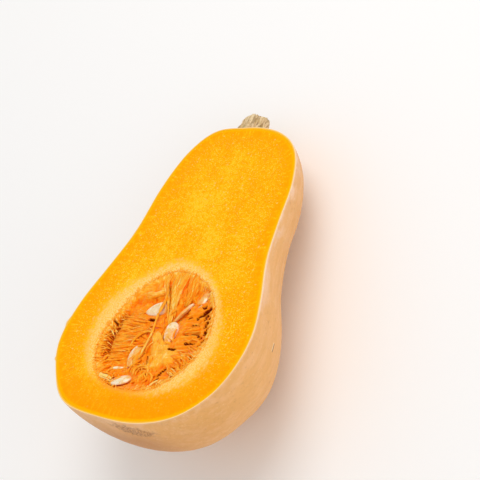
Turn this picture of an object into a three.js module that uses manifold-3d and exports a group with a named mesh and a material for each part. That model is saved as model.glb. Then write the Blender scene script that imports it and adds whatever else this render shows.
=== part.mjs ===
// Half a butternut squash, cut from end to end and laid on its skin with the cut face up: the
// rind, the flesh, the stringy pulp in the seed hollow, the seeds caught in it, and the dry stub
// of the stem.
//
// Millimetres, +Z up. Each piece is drawn with the cut face in the plane z = 0, x across the
// squash and y from the blossom end to the stem end, and the body below. The group then lays it
// down: it turns about x until the bulb and the neck touch the surface together.
import * as THREE from 'three';
import { mergeVertices } from 'three/addons/utils/BufferGeometryUtils.js';
import Module from 'manifold-3d';

const wasm = await Module();
wasm.setup();

// The squash: its outline on the cut face as [x, y], each side from the blossom end to the stem
// end, and its keel, the lowest line of the skin, as [depth, y].
const BLOSSOM_END = [13, 0];
const STEM_END = [2.5, 215];
const RIGHT_SIDE = [
  [39, 3.5], [58, 17.5], [67.5, 37], [70, 59.5], [65.5, 84],
  [58.5, 111], [56, 138.5], [54, 168], [45.5, 193], [28.5, 208],
];
const LEFT_SIDE = [
  [-17.5, 5], [-43, 14.5], [-58, 32.5], [-67.5, 56.5], [-65.5, 83.5],
  [-56.5, 110.5], [-47.5, 138], [-43.5, 169], [-35, 197], [-20, 213.5],
];
const KEEL = [
  [30, 4.5], [51, 16], [66, 36.5], [77, 61], [74.5, 88],
  [60, 113], [48.5, 138], [46, 164], [41.5, 190], [26, 208.5],
];
const RIND = 1.2;
const GAP = 0.3;
const REST_CUT = 0.7;

// The seed hollow: its rim on the cut face, the middle it narrows to, and its depth.
const HOLLOW_RIM = [
  [38.5, 56], [36, 75.5], [27, 91], [9.5, 103], [-8, 104.5], [-25.5, 91.5],
  [-36.5, 66], [-35.5, 48], [-22.5, 29.5], [0, 23], [17, 25], [32, 37],
];
const HOLLOW_MIDDLE = [1, 62];
const HOLLOW_DEPTH = 37;

// The pulp: how far the top of its core lies under the cut face.
const PULP_DROP = 3.6;

// The stem stub, just under the cut face: where it grows, its size, and the dimple round it.
const STEM_AT = [-3.5, 212.5, -10.8];
const STEM_RADIUS = 9.5;
const STEM_LENGTH = 15;
const STEM_RIBS = 5;
const DIMPLE_DEPTH = 2.5;
const DIMPLE_RADIUS = 13;

// A seed: a flat teardrop. Each row is [x, y, z of its middle, heading, roll about its length].
const SEED_LENGTH = 16;
const SEED_WIDTH = 8.5;
const SEED_THICKNESS = 2.6;
const SEEDS = [
  [-7.2, 80.3, -3.3, 15, 12],
  [12, 78, -4.2, 55, -44],
  [8.9, 63.6, -4.2, 92, 15],
  [-9.2, 48.2, -4, 74, 15],
  [-17.2, 41.2, -6, 178, 55],
  [-12.2, 30.8, -3.2, 8, -21],
  [-21.6, 36.4, -6.2, -18, -21],
  [20.8, 85.6, -4.4, 74, -12],
  [12.5, 30.5, -6, 50, -46],
];

// How finely the round forms are divided.
const STEPS = 3;
const ROUND = 40;
const HOLLOW_ROUND = 32;
const BOWL_RINGS = 5;
const PULP_RINGS = 4;
const SEED_ROUND = 10;
const SEED_RINGS = 8;

const degrees = THREE.MathUtils.degToRad;

// A closed curve through flat points.
function loopThrough(points) {
  const corners = points.map(([a, b]) => new THREE.Vector3(a, b, 0));
  return new THREE.CatmullRomCurve3(corners, true, 'catmullrom', 0.5);
}

// The same anticlockwise loop of points, moved inward by a distance.
function inset(points, distance) {
  return points.map(([a, b], i) => {
    const [a0, b0] = points.at(i - 1);
    const [a1, b1] = points[(i + 1) % points.length];
    const share = distance / Math.hypot(a1 - a0, b1 - b0);
    return [a - (b1 - b0) * share, b + (a1 - a0) * share];
  });
}

// A closed solid through a row of rings, drawn together to a point at each end.
function ringSolid(start, rings, end) {
  const count = rings[0].length;
  const points = [start, ...rings.flat(), end];
  const last = points.length - 1;
  const triangles = [];
  for (let j = 0; j < count; j++) {
    const next = (j + 1) % count;
    triangles.push(0, 1 + next, 1 + j);
    for (let i = 0; i < rings.length - 1; i++) {
      const here = 1 + i * count;
      const there = here + count;
      triangles.push(here + j, here + next, there + next);
      triangles.push(here + j, there + next, there + j);
    }
    triangles.push(last, last - count + j, last - count + next);
  }
  const vertProperties = Float32Array.from(points.flatMap((point) => point.toArray()));
  const triVerts = Uint32Array.from(triangles);
  const body = new wasm.Manifold(new wasm.Mesh({ numProp: 3, vertProperties, triVerts }));
  if (body.volume() > 0) {
    return body;
  }
  const turned = triVerts.slice().reverse();
  return new wasm.Manifold(new wasm.Mesh({ numProp: 3, vertProperties, triVerts: turned }));
}

// A closed three.js geometry as a solid.
function solidFrom(geometry) {
  geometry.deleteAttribute('normal');
  geometry.deleteAttribute('uv');
  const merged = mergeVertices(geometry);
  return new wasm.Manifold(new wasm.Mesh({
    numProp: 3,
    vertProperties: merged.attributes.position.array,
    triVerts: Uint32Array.from(merged.index.array),
  }));
}

// A named mesh from a solid. Of a solid in several bodies it keeps the largest.
function mesh(name, body, color, roughness) {
  const bodies = body.decompose();
  bodies.sort((one, other) => other.volume() - one.volume());
  const { vertProperties, triVerts } = bodies[0].getMesh();
  const geometry = new THREE.BufferGeometry();
  geometry.setAttribute('position', new THREE.BufferAttribute(vertProperties, 3));
  geometry.setIndex(new THREE.BufferAttribute(triVerts, 1));
  geometry.computeVertexNormals();
  const material = new THREE.MeshStandardMaterial({ color, roughness, metalness: 0 });
  const result = new THREE.Mesh(geometry, material);
  result.name = name;
  return result;
}

// The whole squash before the cut, its skin moved inward by a distance. Each ring is an ellipse
// through the two sides and the keel, and the stem end is dimpled.
const OUTLINE = [BLOSSOM_END, ...RIGHT_SIDE, STEM_END, ...LEFT_SIDE.toReversed()];
const KEEL_LOOP = [
  [0, BLOSSOM_END[1]], ...KEEL, [0, STEM_END[1]],
  ...KEEL.toReversed().map(([depth, y]) => [-depth, y]),
];
const RINGS = (RIGHT_SIDE.length + 1) * STEPS;

function dimpled(point) {
  const away = Math.hypot(point.x - STEM_AT[0], point.z - STEM_AT[2]) / DIMPLE_RADIUS;
  const dip = point.y > STEM_AT[1] / 2 ? DIMPLE_DEPTH * Math.exp(-away * away) : 0;
  return new THREE.Vector3(point.x, point.y - dip, point.z);
}

function wholeSquash(inside) {
  const outline = loopThrough(inset(OUTLINE, inside));
  const keelLine = loopThrough(inset(KEEL_LOOP, inside));
  const rings = [];
  for (let i = 1; i < RINGS; i++) {
    const along = i / (2 * RINGS);
    const right = outline.getPoint(along);
    const left = outline.getPoint(1 - along);
    const keel = keelLine.getPoint(along);
    const middle = right.clone().add(left).multiplyScalar(0.5);
    const across = right.sub(middle);
    rings.push(Array.from({ length: ROUND }, (_, j) => {
      const angle = 2 * Math.PI * j / ROUND;
      const point = middle.clone().addScaledVector(across, Math.cos(angle));
      point.y += (keel.y - middle.y) * Math.abs(Math.sin(angle));
      point.z -= keel.x * Math.sin(angle);
      return dimpled(point);
    }));
  }
  return ringSolid(dimpled(outline.getPoint(0)), rings, dimpled(outline.getPoint(0.5)));
}

// The knife: everything above the cut face.
function knife() {
  const side = 3 * STEM_END[1];
  return solidFrom(new THREE.BoxGeometry(side, side, side).translate(0, 0, side / 2));
}

// How far the half leans to lie on its bulb and its neck at once, and the depth of the flat that
// it rests on. Each turn of the loop brings the two lowest points nearer to one level.
function layDown() {
  const keelLine = loopThrough(KEEL_LOOP);
  const keel = Array.from({ length: 4 * RINGS }, (_, i) => keelLine.getPoint(i / (8 * RINGS)));
  const waist = STEM_END[1] * 0.65;
  let lean = 0;
  let low = 0;
  for (let turn = 0; turn < 20; turn++) {
    const depth = (point) => point.x * Math.cos(lean) + point.y * Math.sin(lean);
    const deeper = (one, other) => (depth(one) > depth(other) ? one : other);
    const bulb = keel.filter((point) => point.y < waist).reduce(deeper);
    const neck = keel.filter((point) => point.y >= waist).reduce(deeper);
    lean = Math.atan2(bulb.x - neck.x, neck.y - bulb.y);
    low = bulb.x * Math.cos(lean) + bulb.y * Math.sin(lean);
  }
  return { lean, low };
}

// What lies under the surface that the half rests on, in the drawing's own axes.
function underTheSurface({ lean, low }) {
  const side = 3 * STEM_END[1];
  const block = new THREE.BoxGeometry(side, side, side).translate(0, 0, -side / 2 - low + REST_CUT);
  return solidFrom(block.rotateX(lean));
}

// A dish with the hollow's outline, moved inward by a distance, its top at the given height. The
// rows go from the middle of the top out to the wall and down the bowl to its lowest point.
function dish(inside, topRows, wallDrop) {
  const rim = loopThrough(inset(HOLLOW_RIM, inside)).getPoints(HOLLOW_ROUND).slice(0, -1);
  const middle = new THREE.Vector3(HOLLOW_MIDDLE[0], HOLLOW_MIDDLE[1], 0);
  const depth = HOLLOW_DEPTH - inside;
  const ring = (scale, height) => rim.map((point) => {
    const placed = middle.clone().lerp(point, scale);
    placed.z = height;
    return placed;
  });
  const first = Math.asin(Math.max(wallDrop, 0) / depth);
  const rows = topRows.map(([share, height]) => ring(share * Math.cos(first), height));
  for (let k = 0; k < BOWL_RINGS; k++) {
    const angle = first + (Math.PI / 2 - first) * k / BOWL_RINGS;
    rows.push(ring(Math.cos(angle), -depth * Math.sin(angle)));
  }
  const top = middle.clone().setZ(topRows[0][1]);
  return ringSolid(top, rows, middle.clone().setZ(-depth));
}

// The empty hollow, open at the cut face.
function hollow(inside) {
  const above = 12;
  return dish(inside, [[0.5, above], [1, above]], 0);
}

// A strand of pulp: a tapered thread through the given points, with blunt tips.
function strand(points, radius, tipRadius = radius * 0.6, sides = 5) {
  const rows = sides > 4 ? 3 * points.length : points.length;
  const curve = new THREE.CatmullRomCurve3(points.map((point) => new THREE.Vector3(...point)));
  const frames = curve.computeFrenetFrames(rows, false);
  const rings = [];
  for (let i = 0; i <= rows; i++) {
    const middle = curve.getPointAt(i / rows);
    const size = THREE.MathUtils.lerp(radius, tipRadius, i / rows);
    rings.push(Array.from({ length: sides }, (_, j) => {
      const angle = 2 * Math.PI * j / sides;
      const point = middle.clone().addScaledVector(frames.normals[i], size * Math.cos(angle));
      return point.addScaledVector(frames.binormals[i], size * Math.sin(angle));
    }));
  }
  return ringSolid(curve.getPoint(0), rings, curve.getPoint(1));
}

// A soft lump: an ellipsoid with its long axis turned to a heading.
function lump([x, y, z], [along, across, thick], heading) {
  const ball = new THREE.SphereGeometry(1, 12, 8);
  ball.scale(along, across, thick);
  ball.rotateZ(degrees(heading));
  return solidFrom(ball.translate(x, y, z));
}

// A comb: a row of fine four-sided ribs from the wall towards the middle, from the first pair of
// points to the last.
function comb(count, wall, tips, radius) {
  const sway = 1.6;
  const rib = (i) => {
    const from = new THREE.Vector3(...wall[0]).lerp(new THREE.Vector3(...wall[1]), i / (count - 1));
    const to = new THREE.Vector3(...tips[0]).lerp(new THREE.Vector3(...tips[1]), i / (count - 1));
    const bend = sway * Math.sin(2.4 * i);
    const middle = from.clone().lerp(to, 0.5).add(new THREE.Vector3(0, bend, sway / 2));
    to.z -= bend / 2;
    return strand([from.toArray(), middle.toArray(), to.toArray()], radius, radius * 0.6, 4);
  };
  return Array.from({ length: count }, (_, i) => rib(i));
}

// The pulp: a soft core in the hollow, with the threads that hung the seeds standing out of it.
// The bundle runs down from the neck, and the pale lobe is where the threads meet.
function pulp(seedPockets) {
  const coreRows = Array.from({ length: PULP_RINGS - 1 }, (_, i) => (
    [(i + 1) / PULP_RINGS, -PULP_DROP]
  ));
  let body = dish(GAP, coreRows, PULP_DROP);
  const threads = [
    ...comb(13, [[-37, 84, -6.5], [-32, 40, -6.5]], [[-14, 75, -3.2], [-10, 43, -3.2]], 1.5),
    ...comb(10, [[35, 79, -6.5], [36, 38, -6.5]], [[15, 73, -3.4], [17, 45, -3.4]], 1.6),
    ...comb(6, [[-18, 24, -6], [15, 21, -6]], [[-12, 38, -3.8], [10, 36, -3.8]], 1.5),
    strand([[-8, 107, -6.5], [-5, 97, -2.4], [0, 86, -1.8], [4, 74, -3.8]], 2, 1),
    strand([[-3, 107, -6], [-0.5, 96, -1.8], [3, 85, -2], [5.5, 73, -3.6]], 2.3, 1.2),
    strand([[2, 107, -6], [4, 95, -2], [6, 84, -2.4], [7, 74, -4]], 2.1, 1.1),
    strand([[9, 105, -6.5], [10.5, 97, -3], [12, 90, -3.2], [14, 83, -4.5]], 2.2, 1.2),
    strand([[15, 101, -6.5], [15, 95, -3.4], [15, 90, -3.6], [15, 84, -5]], 2, 1),
    strand([[-3.4, 76, -2.4], [-2.8, 70, -1.4], [-1.8, 62, -1.4], [-3.4, 52, -3.6]], 1.1, 0.9),
    strand([[-15.6, 53, -4.5], [-12, 61, -2.4], [-4, 63, -2.2], [2, 60, -3.6]], 1.1, 0.9),
    strand([[-4, 34, -4.5], [-1, 39, -2.4], [4, 39, -2.2], [7, 34, -4.5]], 1.3, 1),
    strand([[2, 33, -4], [4, 27.5, -2.6], [9, 27.5, -2.8], [11, 32, -4.5]], 1.3, 1),
    lump([8, 51.5, -4.2], [11, 6.5, 2.4], 128),
    lump([14, 46.5, -4.4], [7.5, 6, 2.2], -20),
    lump([3, 58, -4.2], [7, 4, 2], 130),
    lump([-16, 96, -5], [13, 8.5, 3.6], 35),
    lump([-1, 36, -4.6], [8, 6, 2.4], 0),
  ];
  for (const thread of threads) {
    body = body.add(thread);
  }
  for (const pocket of seedPockets) {
    body = body.subtract(pocket);
  }
  return body.intersect(hollow(GAP)).subtract(knife());
}

// One seed, or with grow the pocket round it: pointed at one end, its faces flat.
function seed([x, y, z, heading, roll], grow) {
  const swell = (along) => along ** 0.75 * (1 - along) ** 0.5;
  const widest = swell(0.6);
  const length = SEED_LENGTH + 2 * grow;
  const place = new THREE.Matrix4().makeTranslation(x, y, z);
  place.multiply(new THREE.Matrix4().makeRotationZ(degrees(heading)));
  place.multiply(new THREE.Matrix4().makeRotationX(degrees(roll)));
  const at = (along, side, up) => {
    const point = new THREE.Vector3((along - 0.5) * length, side, up);
    return point.applyMatrix4(place);
  };
  const rings = [];
  for (let i = 1; i < SEED_RINGS; i++) {
    const along = (1 - Math.cos(Math.PI * i / SEED_RINGS)) / 2;
    const share = swell(along) / widest;
    const side = (SEED_WIDTH / 2 + grow) * share;
    const up = (SEED_THICKNESS / 2 + grow) * share ** 0.6;
    rings.push(Array.from({ length: SEED_ROUND }, (_, j) => {
      const angle = 2 * Math.PI * j / SEED_ROUND;
      return at(along, side * Math.cos(angle), up * Math.sin(angle));
    }));
  }
  return ringSolid(at(0, 0, 0), rings, at(1, 0, 0));
}

// The stub of the stem: ribbed, flared where it grows from the squash, broken off unevenly.
function stem() {
  const sections = [[-0.5, 1.04], [0, 1.02], [0.3, 0.94], [0.65, 0.82], [0.9, 0.86], [1, 0.72]];
  const lean = 2.5;
  const [x, y, z] = STEM_AT;
  const rings = sections.map(([along, share]) => Array.from({ length: 4 * STEM_RIBS }, (_, j) => {
    const angle = 2 * Math.PI * j / (4 * STEM_RIBS);
    const radius = STEM_RADIUS * share * (1 + 0.07 * Math.cos(STEM_RIBS * angle));
    const broken = along > 0.8 ? 1.1 * Math.sin(2 * angle) + 0.8 * Math.cos(3 * angle) : 0;
    return new THREE.Vector3(
      x + lean * along + radius * Math.cos(angle),
      y + STEM_LENGTH * along + broken,
      z + radius * Math.sin(angle),
    );
  }));
  const foot = new THREE.Vector3(x - lean / 2, y - STEM_LENGTH / 2, z);
  const top = new THREE.Vector3(x + lean, y + STEM_LENGTH, z);
  return ringSolid(foot, rings, top).subtract(wholeSquash(-GAP)).subtract(knife());
}

const lying = layDown();
const underside = underTheSurface(lying);
const rind = wholeSquash(0).subtract(wholeSquash(RIND)).subtract(knife()).subtract(underside);
const flesh = wholeSquash(RIND + GAP).subtract(knife()).subtract(hollow(0));
const seedPockets = SEEDS.map((place) => seed(place, GAP));

const squash = new THREE.Group();
squash.add(mesh('rind', rind, 0xe3ad74, 0.45));
squash.add(mesh('flesh', flesh, 0xfbb01e, 0.5));
squash.add(mesh('pulp', pulp(seedPockets), 0xf58b2c, 0.45));
squash.add(mesh('stem', stem(), 0xc0aa78, 0.85));
SEEDS.forEach((place, i) => {
  const name = `seed_${String(i + 1).padStart(2, '0')}`;
  squash.add(mesh(name, seed(place, 0), 0xf4dfb4, 0.4));
});
squash.rotation.x = -lying.lean;
squash.updateMatrixWorld(true);

const box = new THREE.Box3().setFromObject(squash, true);
const middle = box.getCenter(new THREE.Vector3());
squash.position.set(-middle.x, -middle.y, -box.min.z);
squash.updateMatrixWorld(true);

export default squash;
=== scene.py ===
import math
import bpy
import numpy as np
from mathutils import Matrix, Vector, noise


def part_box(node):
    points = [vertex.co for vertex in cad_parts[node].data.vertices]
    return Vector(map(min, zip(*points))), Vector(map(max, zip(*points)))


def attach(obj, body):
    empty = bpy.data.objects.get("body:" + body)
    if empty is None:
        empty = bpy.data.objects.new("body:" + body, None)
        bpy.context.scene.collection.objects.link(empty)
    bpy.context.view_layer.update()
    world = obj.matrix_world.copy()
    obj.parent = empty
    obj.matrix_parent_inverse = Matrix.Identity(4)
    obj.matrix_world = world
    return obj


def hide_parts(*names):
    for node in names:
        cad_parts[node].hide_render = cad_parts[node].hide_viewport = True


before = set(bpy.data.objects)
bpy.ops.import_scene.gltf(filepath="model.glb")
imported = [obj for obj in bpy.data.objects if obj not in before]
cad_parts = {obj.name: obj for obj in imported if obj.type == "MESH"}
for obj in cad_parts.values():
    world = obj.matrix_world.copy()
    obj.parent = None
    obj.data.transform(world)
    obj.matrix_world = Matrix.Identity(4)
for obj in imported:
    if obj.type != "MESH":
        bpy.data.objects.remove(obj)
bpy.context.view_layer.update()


# ------------------------------------------------------------------------------------- The rind
# The hard tan skin, a little over a millimetre thick, smooth and waxy. It grew as one skin round
# the whole squash, and the knife left half of it, with a pale cut edge and the two poles of the
# squash, blossom end and stem end, on that edge.
MM = 0.001
BLOSSOM_END = (13, 0)
STEM_END = (2.5, 215)
RIGHT_SIDE = [
    (39, 3.5), (58, 17.5), (67.5, 37), (70, 59.5), (65.5, 84),
    (58.5, 111), (56, 138.5), (54, 168), (45.5, 193), (28.5, 208),
]
LEFT_SIDE = [
    (-17.5, 5), (-43, 14.5), (-58, 32.5), (-67.5, 56.5), (-65.5, 83.5),
    (-56.5, 110.5), (-47.5, 138), (-43.5, 169), (-35, 197), (-20, 213.5),
]
KEEL = [
    (30, 4.5), (51, 16), (66, 36.5), (77, 61), (74.5, 88),
    (60, 113), (48.5, 138), (46, 164), (41.5, 190), (26, 208.5),
]
NECK_STARTS = 0.65
RIND_THICKNESS = 1.2 * MM
REST_CUT = 0.7 * MM
REST_HEIGHT = 0.4 * MM
STEM_FOOT = (-3.5 * MM, 212.5 * MM, -10.8 * MM)
DIMPLE_DEPTH = 2.5 * MM
DIMPLE_RADIUS = 13 * MM
STATIONS = 220
TURNS = 128

outline = np.array([BLOSSOM_END, *RIGHT_SIDE, STEM_END, *reversed(LEFT_SIDE)]) * MM
keel_loop = [(0, BLOSSOM_END[1]), *KEEL, (0, STEM_END[1])]
keel_loop = np.array(keel_loop + [(-depth, y) for depth, y in reversed(KEEL)]) * MM


def along_loop(points, shares):
    """Points on the smooth closed curve through the given ones, at shares of the way round."""
    place = (np.asarray(shares, float) % 1.0) * len(points)
    first = np.floor(place).astype(int)
    t = (place - first)[:, None]
    before, here, there, after = (points[(first + k) % len(points)] for k in (-1, 0, 1, 2))
    bend = (2 * before - 5 * here + 4 * there - after) * t ** 2
    twist = (3 * here - before - 3 * there + after) * t ** 3
    return 0.5 * (2 * here + (there - before) * t + bend + twist)


def moved_in(loop, distance):
    """An anticlockwise loop of flat points, moved inward by a distance."""
    step = np.roll(loop, -1, 0) - np.roll(loop, 1, 0)
    inward = np.stack([-step[:, 1], step[:, 0]], 1)
    return loop + distance * inward / np.linalg.norm(inward, axis=1, keepdims=True)


def eased(loop, passes=6):
    """The same loop of many points with its curvature evened out."""
    for _ in range(passes):
        loop = 0.5 * loop + 0.25 * (np.roll(loop, 1, 0) + np.roll(loop, -1, 0))
    return loop


def underside(inside, turns=TURNS):
    """The skin under the cut, moved inward: a row of points for each station between the two
    ends, from the right edge of the cut round under the squash to the left edge."""
    shares = np.arange(2 * STATIONS) / (2 * STATIONS)
    rim = eased(along_loop(moved_in(outline, inside), shares))
    keel = eased(along_loop(moved_in(keel_loop, inside), shares))[: STATIONS + 1]
    right = rim[: STATIONS + 1]
    left = np.roll(rim, -1, 0)[::-1][: STATIONS + 1]
    middle, across = (right + left) / 2, (right - left) / 2
    turn = np.linspace(0, math.pi, turns + 1)
    points = np.zeros((STATIONS + 1, turns + 1, 3))
    points[..., :2] = middle[:, None] + across[:, None] * np.cos(turn)[:, None]
    points[..., 1] += (keel[:, 1] - middle[:, 1])[:, None] * np.sin(turn)
    points[..., 2] = -keel[:, :1] * np.sin(turn)
    points[[0, -1]] = points[[0, -1], :1]
    away = np.hypot(points[..., 0] - STEM_FOOT[0], points[..., 2] - STEM_FOOT[2]) / DIMPLE_RADIUS
    points[..., 1] -= np.where(points[..., 1] > STEM_FOOT[1] / 2, DIMPLE_DEPTH * np.exp(-away ** 2), 0)
    return points


def resting_lean():
    """How far the half leans to lie on its bulb and its neck at once, and how deep it then
    reaches. Each round brings the two lowest points of the keel nearer to one level."""
    keel = along_loop(keel_loop, np.arange(0, 0.5, 0.001))
    neck = keel[:, 1] > NECK_STARTS * STEM_END[1] * MM
    lean = 0.0
    for _ in range(20):
        depth = keel[:, 0] * math.cos(lean) + keel[:, 1] * math.sin(lean)
        low_bulb = keel[np.argmax(np.where(neck, -1, depth))]
        low_neck = keel[np.argmax(np.where(neck, depth, -1))]
        lean = math.atan2(low_bulb[0] - low_neck[0], low_neck[1] - low_bulb[1])
    return lean, depth.max()


lean, rest_depth = resting_lean()
turned = np.array([
    [1, 0, 0],
    [0, math.cos(lean), math.sin(lean)],
    [0, -math.sin(lean), math.cos(lean)],
])
skin = underside(0)
rind_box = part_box("rind")
low_x, low_y, _ = (skin @ turned.T).reshape(-1, 3).min(0)
moved = np.array([rind_box[0][0] - low_x, rind_box[0][1] - low_y, rest_depth - REST_CUT])


def laid(points):
    """Points drawn with the cut face level at z = 0, turned and moved to where the half lies."""
    return np.asarray(points, float) @ turned.T + moved


def plain_mesh(name, points, faces):
    """A mesh that no object has yet."""
    mesh = bpy.data.meshes.new(name)
    mesh.from_pydata([tuple(p) for p in points], [], [tuple(int(i) for i in f) for f in faces])
    mesh.update()
    return mesh


def new_mesh(name, points, faces, **values):
    """A smooth mesh laid where it rests. Each vertex keeps the place it grew at, so that a
    material can follow the squash, and any further values given by name."""
    placed = laid(points)
    placed[:, 2] = np.maximum(placed[:, 2], 0)
    mesh = plain_mesh(name, placed, faces)
    mesh.shade_smooth()
    kept = mesh.attributes.new("grown", "FLOAT_VECTOR", "POINT")
    kept.data.foreach_set("vector", np.ascontiguousarray(points, np.float32).ravel())
    for key, value in values.items():
        kept = mesh.attributes.new(key, "FLOAT", "POINT")
        kept.data.foreach_set("value", np.ascontiguousarray(value, np.float32).ravel())
    thing = bpy.data.objects.new(name, mesh)
    bpy.context.scene.collection.objects.link(thing)
    return thing


def outward(points, faces):
    """The outward direction at each vertex of a mesh."""
    mesh = plain_mesh("measure", points, faces)
    found = np.zeros(3 * len(points), np.float32)
    mesh.vertices.foreach_get("normal", found)
    bpy.data.meshes.remove(mesh)
    return found.reshape(-1, 3)


def lumps(points, size, octaves=3):
    """Soft natural unevenness between about -1 and 1, with lumps of the given size."""
    return np.array([noise.fractal(Vector(p) / size, 1.0, 2.0, octaves) for p in points])


def uneven(points, rise, size, octaves=2):
    """How far each point is raised by lumps of the given rise and size."""
    return rise * lumps(points, size, octaves)


def smooth_step(low, high, value):
    """0 at the low value and under it, 1 at the high one and over it, eased between them."""
    share = np.clip((value - low) / (high - low), 0, 1)
    return share * share * (3 - 2 * share)


def walls(rows):
    """Four-cornered faces between each row of vertex numbers and the next."""
    pairs = [np.stack([a[:-1], a[1:], b[1:], b[:-1]], 1) for a, b in zip(rows[:-1], rows[1:])]
    return [tuple(face) for pair in pairs for face in pair]


def grid_numbers(rows, columns, start=0):
    """Vertex numbers of a grid whose first and last rows are single points."""
    numbers = start + 1 + np.arange((rows - 2) * columns).reshape(rows - 2, columns)
    first = np.full((1, columns), start)
    last = np.full((1, columns), start + 1 + (rows - 2) * columns)
    return np.vstack([first, numbers, last])


def grid_points(points):
    """The vertices that grid_numbers counts."""
    return np.vstack([points[0, :1], points[1:-1].reshape(-1, 3), points[-1, :1]])


def joined(rows):
    """Faces between the rows of a grid, with triangles where two corners are one point."""
    faces = []
    for corners in walls(rows):
        kept = [c for k, c in enumerate(corners) if c != corners[k - 1]]
        if len(kept) > 2:
            faces.append(kept)
    return faces


def edge_of(numbers):
    """The numbers round the rim of an underside, in the outline's order."""
    return np.concatenate([numbers[:, 0], numbers[-2:0:-1, -1]])


# The skin is broadly uneven, as one that swelled against the soil and its own weight, and it is
# rough and sunken at the blossom end, where the flower's scar healed as cork.
# Each unevenness: how high it stands, and the size of its lumps.
SKIN_SWELL = (0.45 * MM, 42 * MM)
SKIN_RIPPLE = (0.07 * MM, 5 * MM)
CORK_LUMPS = (0.4 * MM, 1.1 * MM)
SCAR_MIDDLE = (7.5 * MM, 1.0 * MM, -8.6 * MM)
SCAR_ALONG = (0.97, -0.05, -0.2)
SCAR_LENGTH = 17 * MM
SCAR_WIDTH = 6 * MM
SCAR_SUNK = 0.3 * MM
SCRATCH_MIDDLE = (65.5 * MM, 68 * MM, -25 * MM)
SCRATCH_LENGTH = 3.2 * MM
SCRATCH_WIDTH = 0.35 * MM
EDGE_CHAMFER = 0.22 * MM
SHARP_FROM = 40
# Two corky nubs stand on the skin beside the cut: x, y, z, half length and rise in millimetres.
NUBS = [(-67.4, 71.0, -0.9, 2.8, 1.5), (-65.0, 44.6, -0.9, 1.2, 1.3)]
NUB_ACROSS = 3.0
NUB_HIGH = 1.8


def scar_share(points):
    """How deep in the blossom scar each point of the skin is, from 0 to 1."""
    away = points - np.array(SCAR_MIDDLE)
    along = np.array(SCAR_ALONG) / np.linalg.norm(SCAR_ALONG)
    lengthwise = away @ along
    sideways = np.linalg.norm(away - lengthwise[:, None] * along, axis=1)
    ragged = 1 + 0.3 * lumps(points, 4 * MM)
    return 1 - smooth_step(0.45, 1.15, np.hypot(lengthwise / SCAR_LENGTH, sideways / SCAR_WIDTH) * ragged)


outer_rows = grid_numbers(STATIONS + 1, TURNS + 1)
outer = grid_points(skin)
outer_faces = joined(outer_rows)
scar = scar_share(outer)
relief = uneven(outer, *SKIN_SWELL) + uneven(outer, *SKIN_RIPPLE)
relief += scar * (uneven(outer, *CORK_LUMPS) - SCAR_SUNK)
nub = np.zeros(len(outer))
for x, y, z, half_length, rise in NUBS:
    away = (outer / MM - (x, y, z)) / (NUB_ACROSS, half_length, NUB_HIGH)
    nub = np.maximum(nub, rise * np.exp(-np.sum(away ** 2, axis=1)))
relief += nub * MM
rest_flat = laid(outer)[:, 2] < REST_HEIGHT
relief[rest_flat] = np.minimum(relief[rest_flat], 0)
direction = outward(outer, outer_faces)
rim = edge_of(outer_rows)
direction[rim, 2] = 0
outer = outer + direction * relief[:, None]

inner = grid_points(underside(RIND_THICKNESS))
inner_rows = grid_numbers(STATIONS + 1, TURNS + 1, len(outer))
inner_rim = edge_of(inner_rows)
to_inner = (inner[inner_rim - len(outer)] - outer[rim]) * (1, 1, 0)
lip = outer[rim] * (1, 1, 0) + to_inner * (EDGE_CHAMFER / RIND_THICKNESS)
outer[rim, 2] = -EDGE_CHAMFER
points = np.vstack([outer, inner, lip])
lip_numbers = np.arange(len(outer) + len(inner), len(points))
cut_rows = [np.append(loop, loop[0]) for loop in (rim, lip_numbers, inner_rim)]
faces = outer_faces + [face[::-1] for face in joined(inner_rows)] + walls(cut_rows)
cut_edge = np.zeros(len(points))
cut_edge[lip_numbers] = 1
cut_edge[inner_rim] = 2
corky = np.zeros(len(points))
corky[: len(outer)] = np.maximum(scar, 0.8 * nub)
rind = new_mesh("rind_skin", points, faces, cut_edge=cut_edge, scar=corky)
rind.data.set_sharp_from_angle(angle=math.radians(SHARP_FROM))


def colour(red, green, blue):
    """A colour as it looks on a screen, each part from 0 to 255."""
    parts = [part / 255 for part in (red, green, blue)]
    return [p / 12.92 if p < 0.04045 else ((p + 0.055) / 1.055) ** 2.4 for p in parts] + [1]


class Shade:
    """A value or a colour that changes over a surface. Sums made with it are shader nodes."""

    def __init__(self, socket):
        self.socket = socket
        self.tree = socket.id_data

    def math(self, how, other):
        return Shade(node(self.tree, "Math", {0: self, 1: other}, operation=how).outputs[0])

    def __add__(self, other):
        return self.math("ADD", other)

    def __sub__(self, other):
        return self.math("SUBTRACT", other)

    def __mul__(self, other):
        return self.math("MULTIPLY", other)

    def vector(self, how, other):
        made = node(self.tree, "VectorMath", {0: self, 1: other}, operation=how)
        return Shade(made.outputs[0])

    def parts(self):
        """The three parts of a place: x, y and z."""
        return [Shade(socket) for socket in node(self.tree, "SeparateXYZ", {0: self}).outputs]

    def span(self, low, high, to_low=0.0, to_high=1.0):
        """The value brought smoothly from one range to another."""
        sockets = {"Value": self, "From Min": low, "From Max": high, "To Min": to_low, "To Max": to_high}
        return Shade(node(self.tree, "MapRange", sockets, interpolation_type="SMOOTHSTEP").outputs["Result"])

    def blend(self, one, other):
        """Two colours mixed, with this value as the share of the second."""
        return Shade(node(self.tree, "Mix", {0: self, 6: one, 7: other}, data_type="RGBA").outputs[2])


def node(tree, kind, sockets=None, **settings):
    """A shader node with its settings, and its sockets set or joined by name or number."""
    made = tree.nodes.new("ShaderNode" + kind)
    for key, value in settings.items():
        setattr(made, key, value)
    for key, value in (sockets or {}).items():
        if isinstance(value, Shade):
            tree.links.new(value.socket, made.inputs[key])
        else:
            made.inputs[key].default_value = value
    return made


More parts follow.
